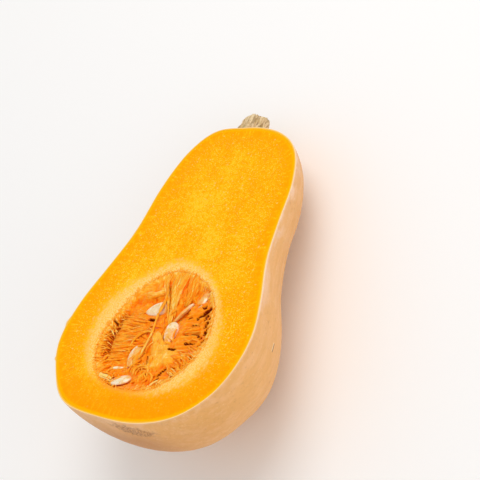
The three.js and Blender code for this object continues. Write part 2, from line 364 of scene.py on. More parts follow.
def layered(base, *coats):
    """Colours laid one over another. Each coat is how much it covers, and its colour."""
    for cover, tone in coats:
        base = cover.blend(base, tone)
    return base


def stored(tree, name, output="Fac"):
    """A value kept on the mesh's vertices."""
    return Shade(node(tree, "Attribute", attribute_name=name).outputs[output])


def new_finish(name, sockets):
    """A material with one Principled shader, its plain values set on the shader itself."""
    material = bpy.data.materials.new(name)
    material.use_nodes = True
    tree = material.node_tree
    tree.nodes.clear()
    surface = node(tree, "BsdfPrincipled", sockets)
    node(tree, "OutputMaterial", {"Surface": Shade(surface.outputs["BSDF"])})
    return material, tree, surface


def dress(tree, surface, base, height, strength, depth):
    """Joins a colour and a fine relief, its depth in millimetres, to the shader."""
    tree.links.new(base.socket, surface.inputs["Base Color"])
    bump = node(tree, "Bump", {"Strength": strength, "Distance": depth * MM, "Height": height})
    tree.links.new(bump.outputs["Normal"], surface.inputs["Normal"])


def effect(name, inputs, output):
    """A shader node group with nothing in it yet, what it is given, a place and named numbers,
    and the socket for its one result."""
    group = bpy.data.node_groups.new(name, "ShaderNodeTree")
    group.interface.new_socket("Place", in_out="INPUT", socket_type="NodeSocketVector")
    for key in inputs:
        group.interface.new_socket(key, in_out="INPUT", socket_type="NodeSocketFloat")
    group.interface.new_socket(output, in_out="OUTPUT", socket_type="NodeSocketFloat")
    given = [Shade(socket) for socket in group.nodes.new("NodeGroupInput").outputs if socket.name]
    return group, given, group.nodes.new("NodeGroupOutput").inputs[output]


# Flecks: small scattered spots, as of pores, cork or burst cells. Only some of the cells have one.
flecks, inputs, result = effect("flecks", ("Per Metre", "Size", "Share"), "Mask")
place, per_metre, size, share = inputs
cells = node(flecks, "TexVoronoi", {"Vector": place, "Scale": per_metre}, feature="F1")
chosen = node(flecks, "SeparateColor", {0: Shade(cells.outputs["Color"])})
spot = Shade(cells.outputs["Distance"]).math("DIVIDE", size).span(0.5, 1.1, 1.0, 0.0)
present = Shade(chosen.outputs["Red"]).math("LESS_THAN", share)
flecks.links.new((spot * present).socket, result)

# Grain: noise drawn out along the squash, or along whatever a stretch of the place makes long.
grain, inputs, result = effect("grain", ("Per Metre", "Across", "Along", "Deep", "Detail"), "Grain")
place, per_metre, across, along, deep, detail = inputs
stretch = Shade(node(grain, "CombineXYZ", {0: across, 1: along, 2: deep}).outputs[0])
fine = {"Vector": place.vector("MULTIPLY", stretch), "Scale": per_metre, "Detail": detail, "Roughness": 0.6}
grain.links.new(node(grain, "TexNoise", fine).outputs["Fac"], result)


def use_effect(group, place, *values):
    """One of the shared effects placed in a material with its own values, in the group's order."""
    made = node(place.tree, "Group", {0: place}, node_tree=group)
    for socket, value in zip(list(made.inputs)[1:], values):
        socket.default_value = value
    return Shade(made.outputs[0])


SKIN_TAN = colour(242, 180, 108)
SKIN_YELLOW = colour(236, 174, 101)
SKIN_PINK = colour(246, 188, 130)
SKIN_BROWN = colour(190, 122, 62)
# A brown painted shade for the underside at the blossom end.
SKIN_SHADE_BROWN = colour(186, 113, 34)
SKIN_PORE = colour(255, 222, 174)
CORK_DARK = colour(158, 98, 46)
CORK_PALE = colour(218, 162, 102)
SCRATCH_RED = colour(132, 62, 26)
CUT_RIND = colour(255, 222, 168)
# A pale pink painted highlight for the top of the skin.
SKIN_HIGHLIGHT_PINK = colour(252, 214, 184)
CUT_GREEN = colour(255, 190, 40)
SKIN_SHEEN = colour(255, 214, 170)

skin_finish, tree, shader = new_finish("squash_skin", {
    "Roughness": 0.48, "Specular IOR Level": 0.4, "Specular Tint": SKIN_SHEEN,
    "Coat Weight": 0.06, "Coat Roughness": 0.3,
    "Subsurface Weight": 0.1, "Subsurface Radius": (1.0, 0.55, 0.25), "Subsurface Scale": 1.5 * MM,
})
place = stored(tree, "grown", "Vector")
cut = stored(tree, "cut_edge")
clouds = use_effect(grain, place, 24, 1, 0.6, 1, 3)
streaks = use_effect(grain, place, 230, 1, 0.05, 1, 4)
mottle = use_effect(grain, place, 700, 1, 0.5, 1, 5)
blotch = use_effect(grain, place, 90, 1, 0.6, 1, 4)
pores = use_effect(flecks, place, 480, 0.26, 0.35)
scuffs = use_effect(flecks, place, 150, 0.14, 0.08)
# The blossom end is painted browner underneath: painted shade, with some real browning where it lay
# on the ground. A painted highlight lies along the top of the skin, mostly at the neck, and the very
# edge under the cut is painted paler, partly the knife's pale edge and partly painted highlight.
x, y, z = place.parts()
# Painted shade under the blossom end, with some real browning where it lay on the ground.
shade_under_blossom_end = y.span(34 * MM, 2 * MM, 0.0, 0.75) * z.span(-2 * MM, -26 * MM)
shade_under_blossom_end = shade_under_blossom_end * x.span(36 * MM, 2 * MM, 0.25, 1.0)
# Painted highlight along the top of the skin, mostly at the neck.
top_highlight = z.span(-11 * MM, -2 * MM) * blotch.span(0.44, 0.62, 0.15, 0.75)
top_highlight = top_highlight * y.span(60 * MM, 140 * MM, 0.2, 1.0)
# The strip under the cut edge is painted paler: partly the knife's pale edge, partly painted highlight.
near_cut = z + (mottle - 0.5) * (2.4 * MM)
pale_edge_and_highlight = near_cut.span(-1.6 * MM, -0.5 * MM) * y.span(20 * MM, 90 * MM, 0.25, 0.7)
base = layered(
    SKIN_TAN,
    (clouds.span(0.38, 0.6), SKIN_YELLOW),
    (blotch.span(0.46, 0.66, 0.0, 0.5), SKIN_PINK),
    (streaks.span(0.5, 0.62, 0.0, 0.7), SKIN_YELLOW),
    (streaks.span(0.48, 0.38, 0.0, 0.5), SKIN_PINK),
    (mottle.span(0.5, 0.72, 0.0, 0.14), SKIN_BROWN),
    (shade_under_blossom_end, SKIN_SHADE_BROWN),
    (top_highlight, SKIN_HIGHLIGHT_PINK),
    (pale_edge_and_highlight, SKIN_HIGHLIGHT_PINK),
    (pores * 0.24, SKIN_PORE),
    (scuffs * 0.4, SKIN_BROWN),
)
# One fine scratch at the right, healed brown, with a pale line above it.
side, along, high = place.vector("SUBTRACT", SCRATCH_MIDDLE).parts()
scratch_end = along.math("ABSOLUTE", 0.0).span(SCRATCH_LENGTH, 0.8 * SCRATCH_LENGTH)
for offset, tone in ((0.9 * MM, SKIN_PORE), (0.0, SCRATCH_RED)):
    aside = (high - offset).math("ABSOLUTE", 0.0)
    line = aside.span(1.6 * SCRATCH_WIDTH, 0.6 * SCRATCH_WIDTH) * scratch_end
    line = line * side.math("GREATER_THAN", -20 * MM)
    base = line.blend(base, tone)
cork = use_effect(grain, place, 1100, 1, 1, 1, 4).span(0.42, 0.6).blend(CORK_DARK, CORK_PALE)
scar_show = stored(tree, "scar") + (mottle - 0.5) * 1.6
base = layered(
    base,
    (scar_show.span(0.1, 0.8, 0.0, 0.75), cork),
    (cut.span(0.3, 0.9), CUT_RIND),
    (cut.span(1.0, 1.5), CUT_GREEN),
)
dress(tree, shader, base, mottle * 0.5 + pores * 0.25 + streaks * 0.6, 0.25, 0.12)
rind.data.materials.append(skin_finish)
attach(rind, "root")
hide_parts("rind")


# ------------------------------------------------------------------------------------ The flesh
# Firm, wet, deep orange flesh that fills the skin and is grown to it. The knife left its face
# level, with a faint grain and a pale, fuzzy ring round the hollow where the seeds grew.
HOLLOW_RIM = [
    (38.5, 56), (36, 75.5), (27, 91), (9.5, 103), (-8, 104.5), (-25.5, 91.5),
    (-36.5, 66), (-35.5, 48), (-22.5, 29.5), (0, 23), (17, 25), (32, 37),
]
PALE_RING = [
    (44.5, 69), (32, 91.5), (16, 106), (-3.5, 113), (-19, 106.5), (-34, 96), (-44, 82),
    (-46.5, 68), (-46, 55), (-42.5, 47), (-34.5, 34.5), (-20.5, 24.5), (-6.5, 20), (10.5, 18),
    (26, 20), (38.5, 27.5), (47.5, 39.5), (48, 53),
]
# How pale the ring is in each direction from the middle of the hollow, in degrees.
RING_PALENESS = [
    (0, 0.75), (38, 0.9), (80, 0.85), (157, 1), (183, 0.8), (203, 0.75), (217, 0.6), (230, 0.15),
    (250, 0.05), (270, 0.15), (283, 0.4), (299, 0.8), (327, 1),
]
HOLLOW_MIDDLE = np.array((1, 62)) * MM
HOLLOW_DEPTH = 37 * MM
SKIN_CLEARANCE = 0.02 * MM
UNDER_TURNS = 24
FACE_ROWS = 72
BOWL_ROWS = 24
LIP_DROP = 1.3 * MM
LIP_WIDTH = 1.6 * MM
FACE_GRAIN = (0.05 * MM, 1.3 * MM)
FACE_SWELL = (0.09 * MM, 17 * MM)
RING_GRAIN = (0.16 * MM, 1.0 * MM)
WALL_FLUTES = (0.5 * MM, 2.2 * MM)
RIM_RAGGED = (0.9 * MM, 4.5 * MM)
RIM_SHREDS = (0.36 * MM, 1.1 * MM)
# The ring's value in the hollow, and its highest, which the skin side has as well.
RING_IN_HOLLOW = -1
RING_HIGHEST = 9
# How far from the skin the wall of the hollow counts as, in millimetres.
WALL_FROM_SKIN = 30


def bearing_of(points):
    """The direction of points from the middle of the hollow, in radians."""
    return np.arctan2(points[..., 1] - HOLLOW_MIDDLE[1], points[..., 0] - HOLLOW_MIDDLE[0])


def reach_of(corners, bearing):
    """How far a closed curve is from the middle of the hollow, in the directions given."""
    loop = along_loop(np.array(corners) * MM, np.arange(720) / 720)
    away = np.linalg.norm(loop - HOLLOW_MIDDLE, axis=1)
    return np.interp(bearing, bearing_of(loop), away, period=2 * math.pi)


def spokes(bearing):
    """Flat steps of length one in the directions given."""
    return np.stack([np.cos(bearing), np.sin(bearing)], 1)


def fan(middle, ring):
    """Triangles between one vertex and a closed ring of them."""
    return [(middle, a, b) for a, b in zip(ring[:-1], ring[1:])]


def rings(rows, columns, start=0):
    """Vertex numbers of rings of points, one above another, each back at its first at the end."""
    numbers = start + np.arange(rows * columns).reshape(rows, columns)
    return np.hstack([numbers, numbers[:, :1]])


def rim_raggedness(bearing):
    """How far the torn rim of the hollow stands off its smooth curve, in the directions given."""
    edge = np.zeros((len(bearing), 3))
    edge[:, :2] = spokes(bearing) * reach_of(HOLLOW_RIM, bearing)[:, None]
    return uneven(edge, *RIM_RAGGED, 3) + uneven(edge, *RIM_SHREDS)


under = grid_points(underside(RIND_THICKNESS + SKIN_CLEARANCE, UNDER_TURNS))
under_rows = grid_numbers(STATIONS + 1, UNDER_TURNS + 1)
rim = edge_of(under_rows)
bearing = bearing_of(under[rim])
rim_reach = np.linalg.norm(under[rim, :2] - HOLLOW_MIDDLE, axis=1)
hollow_reach = reach_of(HOLLOW_RIM, bearing)
raggedness = rim_raggedness(bearing)
ring_reach = reach_of(PALE_RING, bearing)

# The cut face: rows of points from the skin in to the rim of the hollow.
even = np.linspace(0, 1, FACE_ROWS + 1)[1:]
shares = 0.65 * even + 0.35 * 0.5 * (1 - np.cos(math.pi * even))
reach = rim_reach + (hollow_reach + raggedness - rim_reach) * shares[:, None]
face = np.zeros((FACE_ROWS, len(rim), 3))
face[..., :2] = HOLLOW_MIDDLE + reach[..., None] * spokes(bearing)
ring_share = (reach - hollow_reach) / (ring_reach - hollow_reach)
to_rim = [np.linalg.norm(row[:, None, :2] - under[None, rim, :2], axis=2) for row in face]
from_rind = np.array([away.min(1) for away in to_rim])
rim_steps = np.linalg.norm(np.diff(under[rim], axis=0), axis=1)
rim_length = np.concatenate([[0], np.cumsum(rim_steps)])
nearest_length = rim_length[np.array([away.argmin(1) for away in to_rim])]
flat = face.reshape(-1, 3)
near_ring = 1 - smooth_step(0.5, 1.3, ring_share).ravel()
near_skin = smooth_step(0, 1.5 * MM, from_rind).ravel()
grain_height = uneven(flat * (1, 1, 0), *FACE_GRAIN) + uneven(flat, *FACE_SWELL)
grain_height += near_ring * uneven(flat + 0.5, *RING_GRAIN)
lip = LIP_DROP * np.exp(-(reach - reach[-1]) / LIP_WIDTH).ravel()
face[..., 2] = (near_skin * grain_height - lip).reshape(face.shape[:2])

# The fluted wall of the hollow, round and down to its bottom.
fall = np.linspace(0, math.pi / 2, BOWL_ROWS + 1)[1:-1]
bowl = np.zeros((len(fall), len(rim), 3))
bowl[..., :2] = HOLLOW_MIDDLE + (hollow_reach * np.cos(fall)[:, None])[..., None] * spokes(bearing)
bowl[..., 2] = -LIP_DROP - (HOLLOW_DEPTH - LIP_DROP) * np.sin(fall)[:, None]
flutes = uneven(bowl.reshape(-1, 3) * (1, 1, 0.4), *WALL_FLUTES).reshape(bowl.shape[:2])
flutes += raggedness * np.exp(-fall[:, None] / 0.2)
bowl[..., :2] += (flutes * np.cos(fall)[:, None])[..., None] * spokes(bearing)
bottom = np.array([[*HOLLOW_MIDDLE, -HOLLOW_DEPTH]])
points = np.vstack([under, face.reshape(-1, 3), bowl.reshape(-1, 3), bottom])
rows = np.vstack([np.append(rim, rim[0]), rings(FACE_ROWS + len(fall), len(rim), len(under))])
faces = joined(under_rows) + walls(rows) + fan(len(points) - 1, rows[-1])


def over_face(on_face, in_hollow, on_skin=0.0):
    """A value for each vertex: its own on the cut face, one on the skin side and one in the hollow."""
    values = np.full(len(points), float(in_hollow))
    values[: len(under)] = on_skin
    values[len(under) : len(under) + on_face.size] = on_face.ravel()
    return values


directions, paleness = np.array(RING_PALENESS).T
face_bearing = np.degrees(bearing_of(flat)) % 360
flesh = new_mesh(
    "flesh_cut", points, faces,
    ring=over_face(np.minimum(ring_share, RING_HIGHEST), RING_IN_HOLLOW, RING_HIGHEST),
    pale=over_face(np.interp(face_bearing, directions, paleness, period=360), 0),
    from_skin=over_face(from_rind / MM, WALL_FROM_SKIN),
    round_rim=over_face(nearest_length, 0),
)

FLESH_DEEP = colour(255, 164, 0)
FLESH_MIDDLE = colour(255, 178, 2)
FLESH_PALE = colour(255, 197, 34)
FLESH_LOW = colour(255, 147, 0)
FLESH_BAND = colour(255, 180, 0)
RING_PALE = colour(255, 212, 130)
RING_GOLD = colour(255, 190, 66)
WALL_DEEP = colour(255, 156, 40)
WALL_GOLD = colour(255, 162, 44)
FLESH_SHEEN = colour(255, 170, 10)

flesh_finish, tree, shader = new_finish("squash_flesh", {
    "Roughness": 0.42, "Specular IOR Level": 0.02, "Specular Tint": FLESH_SHEEN,
    "Subsurface Weight": 0.15, "Subsurface Radius": (1.0, 0.4, 0.05), "Subsurface Scale": 1.2 * MM,
})
place = stored(tree, "grown", "Vector")
ring = stored(tree, "ring")
pale = stored(tree, "pale")
from_skin = stored(tree, "from_skin")
clouds = use_effect(grain, place, 62, 1, 0.7, 1, 3)
broad_clouds = use_effect(grain, place, 30, 1, 0.8, 1, 2)
cells = use_effect(grain, place, 420, 1, 0.8, 1, 4)
fine = use_effect(grain, place, 1100, 1, 1, 1, 3)
# Pale dots and dashes on the cut face: partly pale cut cells, partly painted wet glints.
pale_dots_and_glints = use_effect(flecks, place, 330, 0.24, 0.2)
pale_dashes_and_glints = use_effect(flecks, place.vector("MULTIPLY", (0.5, 1.0, 1.0)), 420, 0.2, 0.12)
# Rays run in from the skin: their grain is laid out by the length of the rim and the way inward.
beside = node(tree, "CombineXYZ", {"X": stored(tree, "round_rim"), "Y": from_skin * MM}).outputs[0]
rays = use_effect(grain, Shade(beside), 800, 1, 0.16, 1, 3)
level = (cells - 0.5) * 3.8 + (fine - 0.5) * 4.4
level = level + ((clouds - 0.5) * 2.6 + (broad_clouds - 0.5) * 2.6) * from_skin.span(2, 12)
level = level + (rays - 0.5) * from_skin.span(16, 6, 0.0, 7.0)
level = level + from_skin.span(3, 28, -0.05, 0.9)
low_end = place.parts()[1].span(62 * MM, 6 * MM, 0.0, 0.5)
pale_marks_and_glints = fine.span(0.56, 0.68, 0.0, 0.4) * from_skin.span(3, 9)
pale_marks_and_glints = (pale_dots_and_glints.math("MAXIMUM", pale_dashes_and_glints) * 0.42).math("MAXIMUM", pale_marks_and_glints)
fuzz = (cells - 0.5) * 2.2 + (fine - 0.5) * 1.8
inner_edge = ring + fuzz * 0.35 + (pale - 0.8) * 0.5
base = layered(
    FLESH_DEEP,
    (level.span(-0.2, 0.8), FLESH_MIDDLE),
    (level.span(0.6, 1.7), FLESH_PALE),
    (low_end, FLESH_LOW),
    (pale_marks_and_glints * low_end.span(0.05, 0.5, 1.0, 0.3), RING_PALE),
    (from_skin.span(2.6, 0.5), FLESH_BAND),
    ((ring + fuzz).span(1.3, 0.6) * pale * 0.95, fine.span(0.4, 0.56).blend(RING_GOLD, RING_PALE)),
    (inner_edge.span(0.34, 0.04), WALL_GOLD),
    (ring.span(0.02, -0.2), WALL_DEEP),
)
dress(tree, shader, base, cells + fine * 0.6, 0.4, 0.16)
flesh.data.materials.append(flesh_finish)
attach(flesh, "root")
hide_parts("flesh")


# ------------------------------------------------------------------------------------- The pulp
# The wet, stringy mass that filled the hollow and held the seeds, grown to the wall. It is
# combed into ribs at both sides and below, a bundle of strings comes down from the neck, a smooth
# fold lies at the top left and a pale lobe lies where the threads meet. Sizes are in millimetres.
PULP_BITE = 0.15
PULP_AROUND = 300
PULP_ROWS = 70
PULP_BOWL_ROWS = 6
BOTTOM_CLEARANCE = 0.1
SIDE_CLEARANCE = 0.5
THREAD_ROWS = 12
THREAD_SIDES = 8
THREAD_SUNK = 0.25
SEED_LENGTH = 16
SEED_WIDTH = 8.5
SEED_THICKNESS = 2.6
# Each seed: the x, y and z of its middle, its heading and its roll in degrees.
SEEDS = [
    (-7.2, 80.3, -3.3, 15, 12), (12, 78, -4.2, 55, -44), (8.9, 63.6, -4.2, 92, 15),
    (-9.2, 48.2, -4, 74, 15), (-17.2, 41.2, -6, 178, 55), (-12.2, 30.8, -3.2, 8, -21),
    (-21.6, 36.4, -6.2, -18, -21), (20.8, 85.6, -4.4, 74, -12), (12.5, 30.5, -6, 50, -46),
]
# Beds pressed into the mass: x, y, level, half length, half width and heading in degrees.
BEDS = [(22, 88.5, -5, 5.5, 5.2, 74), (-17, 41.5, -3.5, 7, 2, -2)]
# Gaps in the mass, deep and painted dark as shade, each from one point to another: x, y, x, y,
# half width and depth.
GAPS = [
    (-3.8, 94.6, -1.8, 92.2, 0.45, 6), (14.5, 51.6, 17.6, 51.2, 0.95, 8),
    (0.3, 47, 3.2, 40.8, 0.42, 7), (13.4, 33.5, 17.4, 38.6, 0.6, 7), (13.6, 30, 14.6, 31.5, 0.7, 7),
    (28.6, 77, 31.2, 78.4, 1.47, 9), (24.8, 73, 27, 74.6, 1.02, 9), (29.8, 74.2, 31.2, 74.4, 0.83, 8),
    (30, 71.6, 30.6, 72.2, 0.7, 7), (33, 71.8, 34.2, 72, 0.64, 7), (31.8, 68.8, 33, 69.4, 0.83, 8),
    (32, 66.4, 32.8, 67, 0.64, 7), (33.8, 61.8, 35, 62.2, 0.9, 8), (33.6, 63.8, 34.4, 64.2, 0.64, 7),
    (34, 56.8, 35.4, 57, 0.64, 7), (30, 60.3, 30.6, 60.6, 0.64, 7), (23.6, 90.6, 24.8, 92.8, 0.96, 7),
    (22.4, 81, 23.2, 81.8, 0.64, 7), (26, 80.2, 27, 81, 0.77, 7), (-30.4, 67.2, -29.6, 66.8, 0.6, 7),
    (18.6, 72.8, 19.8, 73.4, 0.7, 8), (-10, 73.4, -6.8, 72.8, 0.8, 6.5),
    (22.4, 67.7, 27.4, 67.8, 0.51, 5.8), (23, 55.6, 29.4, 55.3, 0.58, 6),
    (25, 61.6, 30, 61.8, 0.38, 5), (-34.6, 72.6, -31.6, 70.2, 0.4, 6), (13, 71.8, 16.4, 76, 0.6, 8),
    (31.6, 59.2, 32.6, 59.6, 0.6, 7), (27.4, 69.6, 28.4, 70, 0.55, 7),
    (34.2, 65.2, 34.8, 65.4, 0.55, 7), (32.6, 53.6, 33.8, 53.9, 0.5, 7),
    (20.2, 61.3, 25.5, 61, 0.32, 5),
]
chance = np.random.default_rng(11)
drawn = chance.uniform


def near(amount):
    """A random number up to so much either way."""
    return drawn(-amount, amount)


def along_path(corners, count):
    """Points on the smooth open curve through the given ones."""
    corners = np.asarray(corners, float)
    padded = np.vstack([2 * corners[:1] - corners[1:2], corners, 2 * corners[-1:] - corners[-2:-1]])
    shares = (1 + np.linspace(0, 1, count) * (len(corners) - 1)) / len(padded)
    return along_loop(padded, shares)


def turned_to(points, x, y, heading):
    """How far flat points are along and aside of a place, for a heading in degrees."""
    turn = math.radians(heading)
    east, north = points[:, 0] - x, points[:, 1] - y
    return east * math.cos(turn) + north * math.sin(turn), north * math.cos(turn) - east * math.sin(turn)


def mound(points, x, y, long, wide, heading, soft=0.5):
    """1 in the middle of an oval patch, falling softly to 0 at its edge."""
    along, aside = turned_to(points, x, y, heading)
    return 1 - smooth_step(1 - soft, 1 + soft * 0.3, np.hypot(along / long, aside / wide))


def seed_share(points, seed):
    """How near flat points are to a seed's outline: under 1 is over the seed."""
    along, aside = turned_to(points, seed[0], seed[1], seed[3])
    return np.hypot(along / (SEED_LENGTH / 2), aside / (SEED_WIDTH / 2))


def between(value, low, high, soft):
    """1 between two values, falling softly to 0 outside them."""
    return smooth_step(low - soft, low + soft, value) * (1 - smooth_step(high - soft, high + soft, value))


def gap_share(points, margin=0.0):
    """How far each flat point is inside one of the gaps and inside its steep edge, which is painted
    dark as shade, both from 0 to 1, and how deep that gap is."""
    nearest, depth = np.full(len(points), 9.0), np.zeros(len(points))
    for x1, y1, x2, y2, width, low in GAPS:
        start, step = np.array((x1, y1)), np.array((x2 - x1, y2 - y1))
        along = np.clip((points[:, :2] - start) @ step / (step @ step), 0, 1)
        away = np.linalg.norm(points[:, :2] - start - along[:, None] * step, axis=1)
        away = np.maximum(away - margin, 0) / width
        depth = np.where(away < nearest, low, depth)
        nearest = np.minimum(nearest, away)
    return 1 - smooth_step(0.5, 1.2, nearest), 1 - smooth_step(0.95, 1.35, nearest), depth


def waves(place, length):
    """Even waves from -1 to 1, with crests so far apart."""
    return np.cos(2 * math.pi * place / length)


def core_height(points, share):
    """How high the soft mass stands at each point, from the cut face, how pale it is, and how
    much painted shade it has, in the gaps and the groove."""
    x, y = points[:, 0], points[:, 1]
    flat = np.stack([x, y, np.zeros(len(x))], 1)
    rough = lumps(flat, 2.4, 3)
    fine = lumps(flat * (1.4, 0.6, 1) + 7, 1.5, 2)
    broad = lumps(flat + 31, 7, 2)
    height = -3.1 + 0.6 * rough + 0.35 * fine + 0.4 * broad
    tint = 0.46 + 0.18 * rough + 0.16 * fine

    def lay(cover, level, shade=None):
        """Brings the mass to a level, and to a shade if one is given, where it is covered."""
        height[:] += cover * (level - height)
        if shade is not None:
            tint[:] += cover * (shade - tint)

    # Ribs at the left and right, and the groove where the left ones leave the wall.
    wave = waves(y + 0.12 * x + 1.6 * broad + 0.5 * rough, 2.05)
    ribs_left = between(x, -29, -12, 2) * between(y, 43, 78, 3)
    lay(ribs_left, -2.9 + 0.45 * wave + 0.2 * rough, 0.6 + 0.12 * wave + 0.1 * fine)
    wave = waves(y - 0.06 * x + 1.2 * broad, 3.1)
    ribs_right = between(x, 17, 31, 2) * between(y, 43, 78, 3)
    lay(ribs_right, -3.0 + 0.5 * wave + 0.2 * rough, 0.56 + 0.1 * wave + 0.1 * fine)
    groove = between(share, 0.80, 0.93, 0.035) * between(y, 48, 78, 4) * (x < 0)
    height -= 1.8 * groove * np.clip(0.9 + 0.6 * broad, 0.4, 1.3)
    # Painted shade in the groove: its tint is darkened.
    tint -= 0.3 * groove

    # The sheet at the top right, the smooth fold at the top left and the roll under it.
    wave = waves(x + 0.35 * (y - 95) + 1.5 * broad, 4.6)
    sheet_shade = 0.5 + 0.1 * wave + 0.1 * fine + 0.012 * (x - 10)
    lay(between(x, 4.5, 24, 2) * smooth_step(80, 87, y), -2.2 + 0.35 * wave + 0.15 * rough, sheet_shade)
    pleat = np.abs(np.sin(0.3 * (x + 1.6 * y) + 2.0 * broad + 0.8))
    fold = mound(points, -15, 96, 14.5, 9.5, 30, 0.35)
    lay(fold, -1.1 - 1.0 * pleat ** 2 + 0.2 * rough, 0.72 - 0.2 * pleat + 0.12 * rough)
    tint -= 0.22 * mound(points, -19, 87, 9, 3.5, 12, 0.7)
    lay(mound(points, -13.5, 89, 7.5, 2.4, 12, 0.6), -1.3 + 0.6 * fine, 0.6 + 0.35 * fine)
    streak = np.maximum(mound(points, 6.8, 97, 8, 1.1, 84, 0.8), mound(points, -5.4, 99, 4.5, 0.9, 122, 0.8))
    height -= 0.2 * streak
    tint -= 0.55 * streak

    # The pale lobe with its rays, and the low mass under the curls.
    lobe = np.max([
        mound(points, 8, 51.5, 11, 6.5, 128), mound(points, 2.5, 59, 7.5, 3.6, 132),
        mound(points, 14.5, 46.5, 7.5, 6, -20), mound(points, 8, 44, 8, 6.5, 60),
    ], axis=0)
    star = np.arctan2(y - 50, x - 11.5)
    rays = 0.18 * np.cos(7 * star + 0.6) + 0.12 * np.cos(17 * star + 2 * broad)
    lay(lobe, -1.5 + rays + 0.3 * rough, 0.88 + 0.16 * rays + 0.1 * rough)
    low = mound(points, 0, 31, 18, 7.5, 0, 0.6)
    lay(low, -2.5 + 0.7 * rough + 0.3 * fine, 0.42 + 0.22 * fine + 0.15 * broad)

    # The slope up to the wall, the beds of the seeds and the gaps.
    slope = smooth_step(0.86, 1.0, share) * (1 - 0.85 * groove)
    lay(slope, -1.0 + 0.15 * fine + 0.12 * rough)
    pale = slope * (1 - 0.75 * between(x, -24, 8, 4) * (y < 40))
    tint += pale * (0.86 + 0.26 * rough + 0.2 * fine - tint)
    lay(mound(points, 21, 79.5, 5.5, 4.5, 74), -2.3 + 0.3 * rough)
    for seed_x, seed_y, seed_z, heading, roll in (SEEDS[k] for k in (0, 1, 2, 3, 5)):
        narrow = max(abs(math.cos(math.radians(roll))), 0.35)
        bed = mound(points, seed_x, seed_y, 9.6, 6.0 * narrow, heading, 0.25)
        lay(bed, np.minimum(height, seed_z - 0.7))
    for bed_x, bed_y, level, long, wide, heading in BEDS:
        lay(mound(points, bed_x, bed_y, long, wide, heading, 0.3), np.minimum(height, level))
    # The dark edge of each gap is painted shade.
    inside, dark, depth = gap_share(points)
    lay(inside, np.minimum(height, -depth))
    # The groove's painted shade joins that of the gaps.
    return height, np.clip(tint, 0, 1), np.maximum(dark, 0.44 * groove * (1 - slope))


bearing = np.arange(PULP_AROUND) * 2 * math.pi / PULP_AROUND
wall = reach_of(HOLLOW_RIM, bearing) / MM + PULP_BITE
ragged = rim_raggedness(bearing) / MM
middle = HOLLOW_MIDDLE / MM
share = np.linspace(0, 1, PULP_ROWS + 1)[1:] ** 0.85
edge_share = smooth_step(0.8, 1, share)[:, None]
top = np.zeros((PULP_ROWS, PULP_AROUND, 3))
top[..., :2] = middle + (share[:, None] * wall + edge_share * ragged)[..., None] * spokes(bearing)
top = np.vstack([[[*middle, 0]], top.reshape(-1, 3)])
top[:, 2], core_tint, core_gap_shade = core_height(top, np.append(0, np.repeat(share, PULP_AROUND)))
deepest = HOLLOW_DEPTH / MM - BOTTOM_CLEARANCE
fall = np.linspace(0.24, math.pi / 2, PULP_BOWL_ROWS + 1)[:-1]
side = np.zeros((len(fall), PULP_AROUND, 3))
side[..., :2] = middle + (np.cos(fall)[:, None] * (wall - SIDE_CLEARANCE))[..., None] * spokes(bearing)
side[..., 2] = -deepest * np.sin(fall)[:, None]
core = np.vstack([top, side.reshape(-1, 3), [[*middle, -deepest]]])
hidden = np.zeros(len(core) - len(top))
rows = rings(PULP_ROWS + len(fall), PULP_AROUND, 1)
core_faces = fan(0, rows[0]) + walls(rows[::-1]) + fan(len(core) - 1, rows[-1][::-1])

threads = []


def thread(corners, radius, tip, upright, tint):
    """One string of pulp, left out where it would close a gap. Tip is how much it narrows to, and
    upright its height over its width."""
    corners = np.array(corners, float)
    if gap_share(along_path(corners, THREAD_ROWS), 0.75 * radius)[0].max() <= 0.5:
        threads.append((corners, radius, tip, upright, tint))


def by_wall(bearing, *steps):
    """Places near the wall of the hollow: each is a turn from the bearing, how far it is inside
    the wall, and its height."""
    places = []
    for turn, inside, height in steps:
        reach = reach_of(HOLLOW_RIM, bearing + turn) / MM - inside
        x = middle[0] + reach * math.cos(bearing + turn)
        places.append((x, middle[1] + reach * math.sin(bearing + turn), height))
    return places


def comb(count, outer, inner, radius, heights, upright, tints, sway):
    """A row of wavy ribs that stand on edge, from the wall towards the middle."""
    outer, inner = np.array(outer), np.array(inner)
    high, low = heights
    for k in range(count):
        share = (k + 0.5 + near(0.25)) / count
        start = outer[0] + (outer[1] - outer[0]) * share + (near(0.8), near(0.3))
        end = inner[0] + (inner[1] - inner[0]) * share + (near(2.0), near(1.0))
        corners = [(*start, high + near(0.5))]
        for along in (0.3, 0.55, 0.8):
            place = start + (end - start) * along + (near(0.4), sway * near(0.9))
            corners.append((*place, high + (low - high) * along + near(0.5)))
        corners.append((*end, low - 0.8 + near(0.5)))
        thick = radius * drawn(0.75, 1.3)
        thread(corners, thick, 0.7, upright * drawn(0.8, 1.2), drawn(*tints))


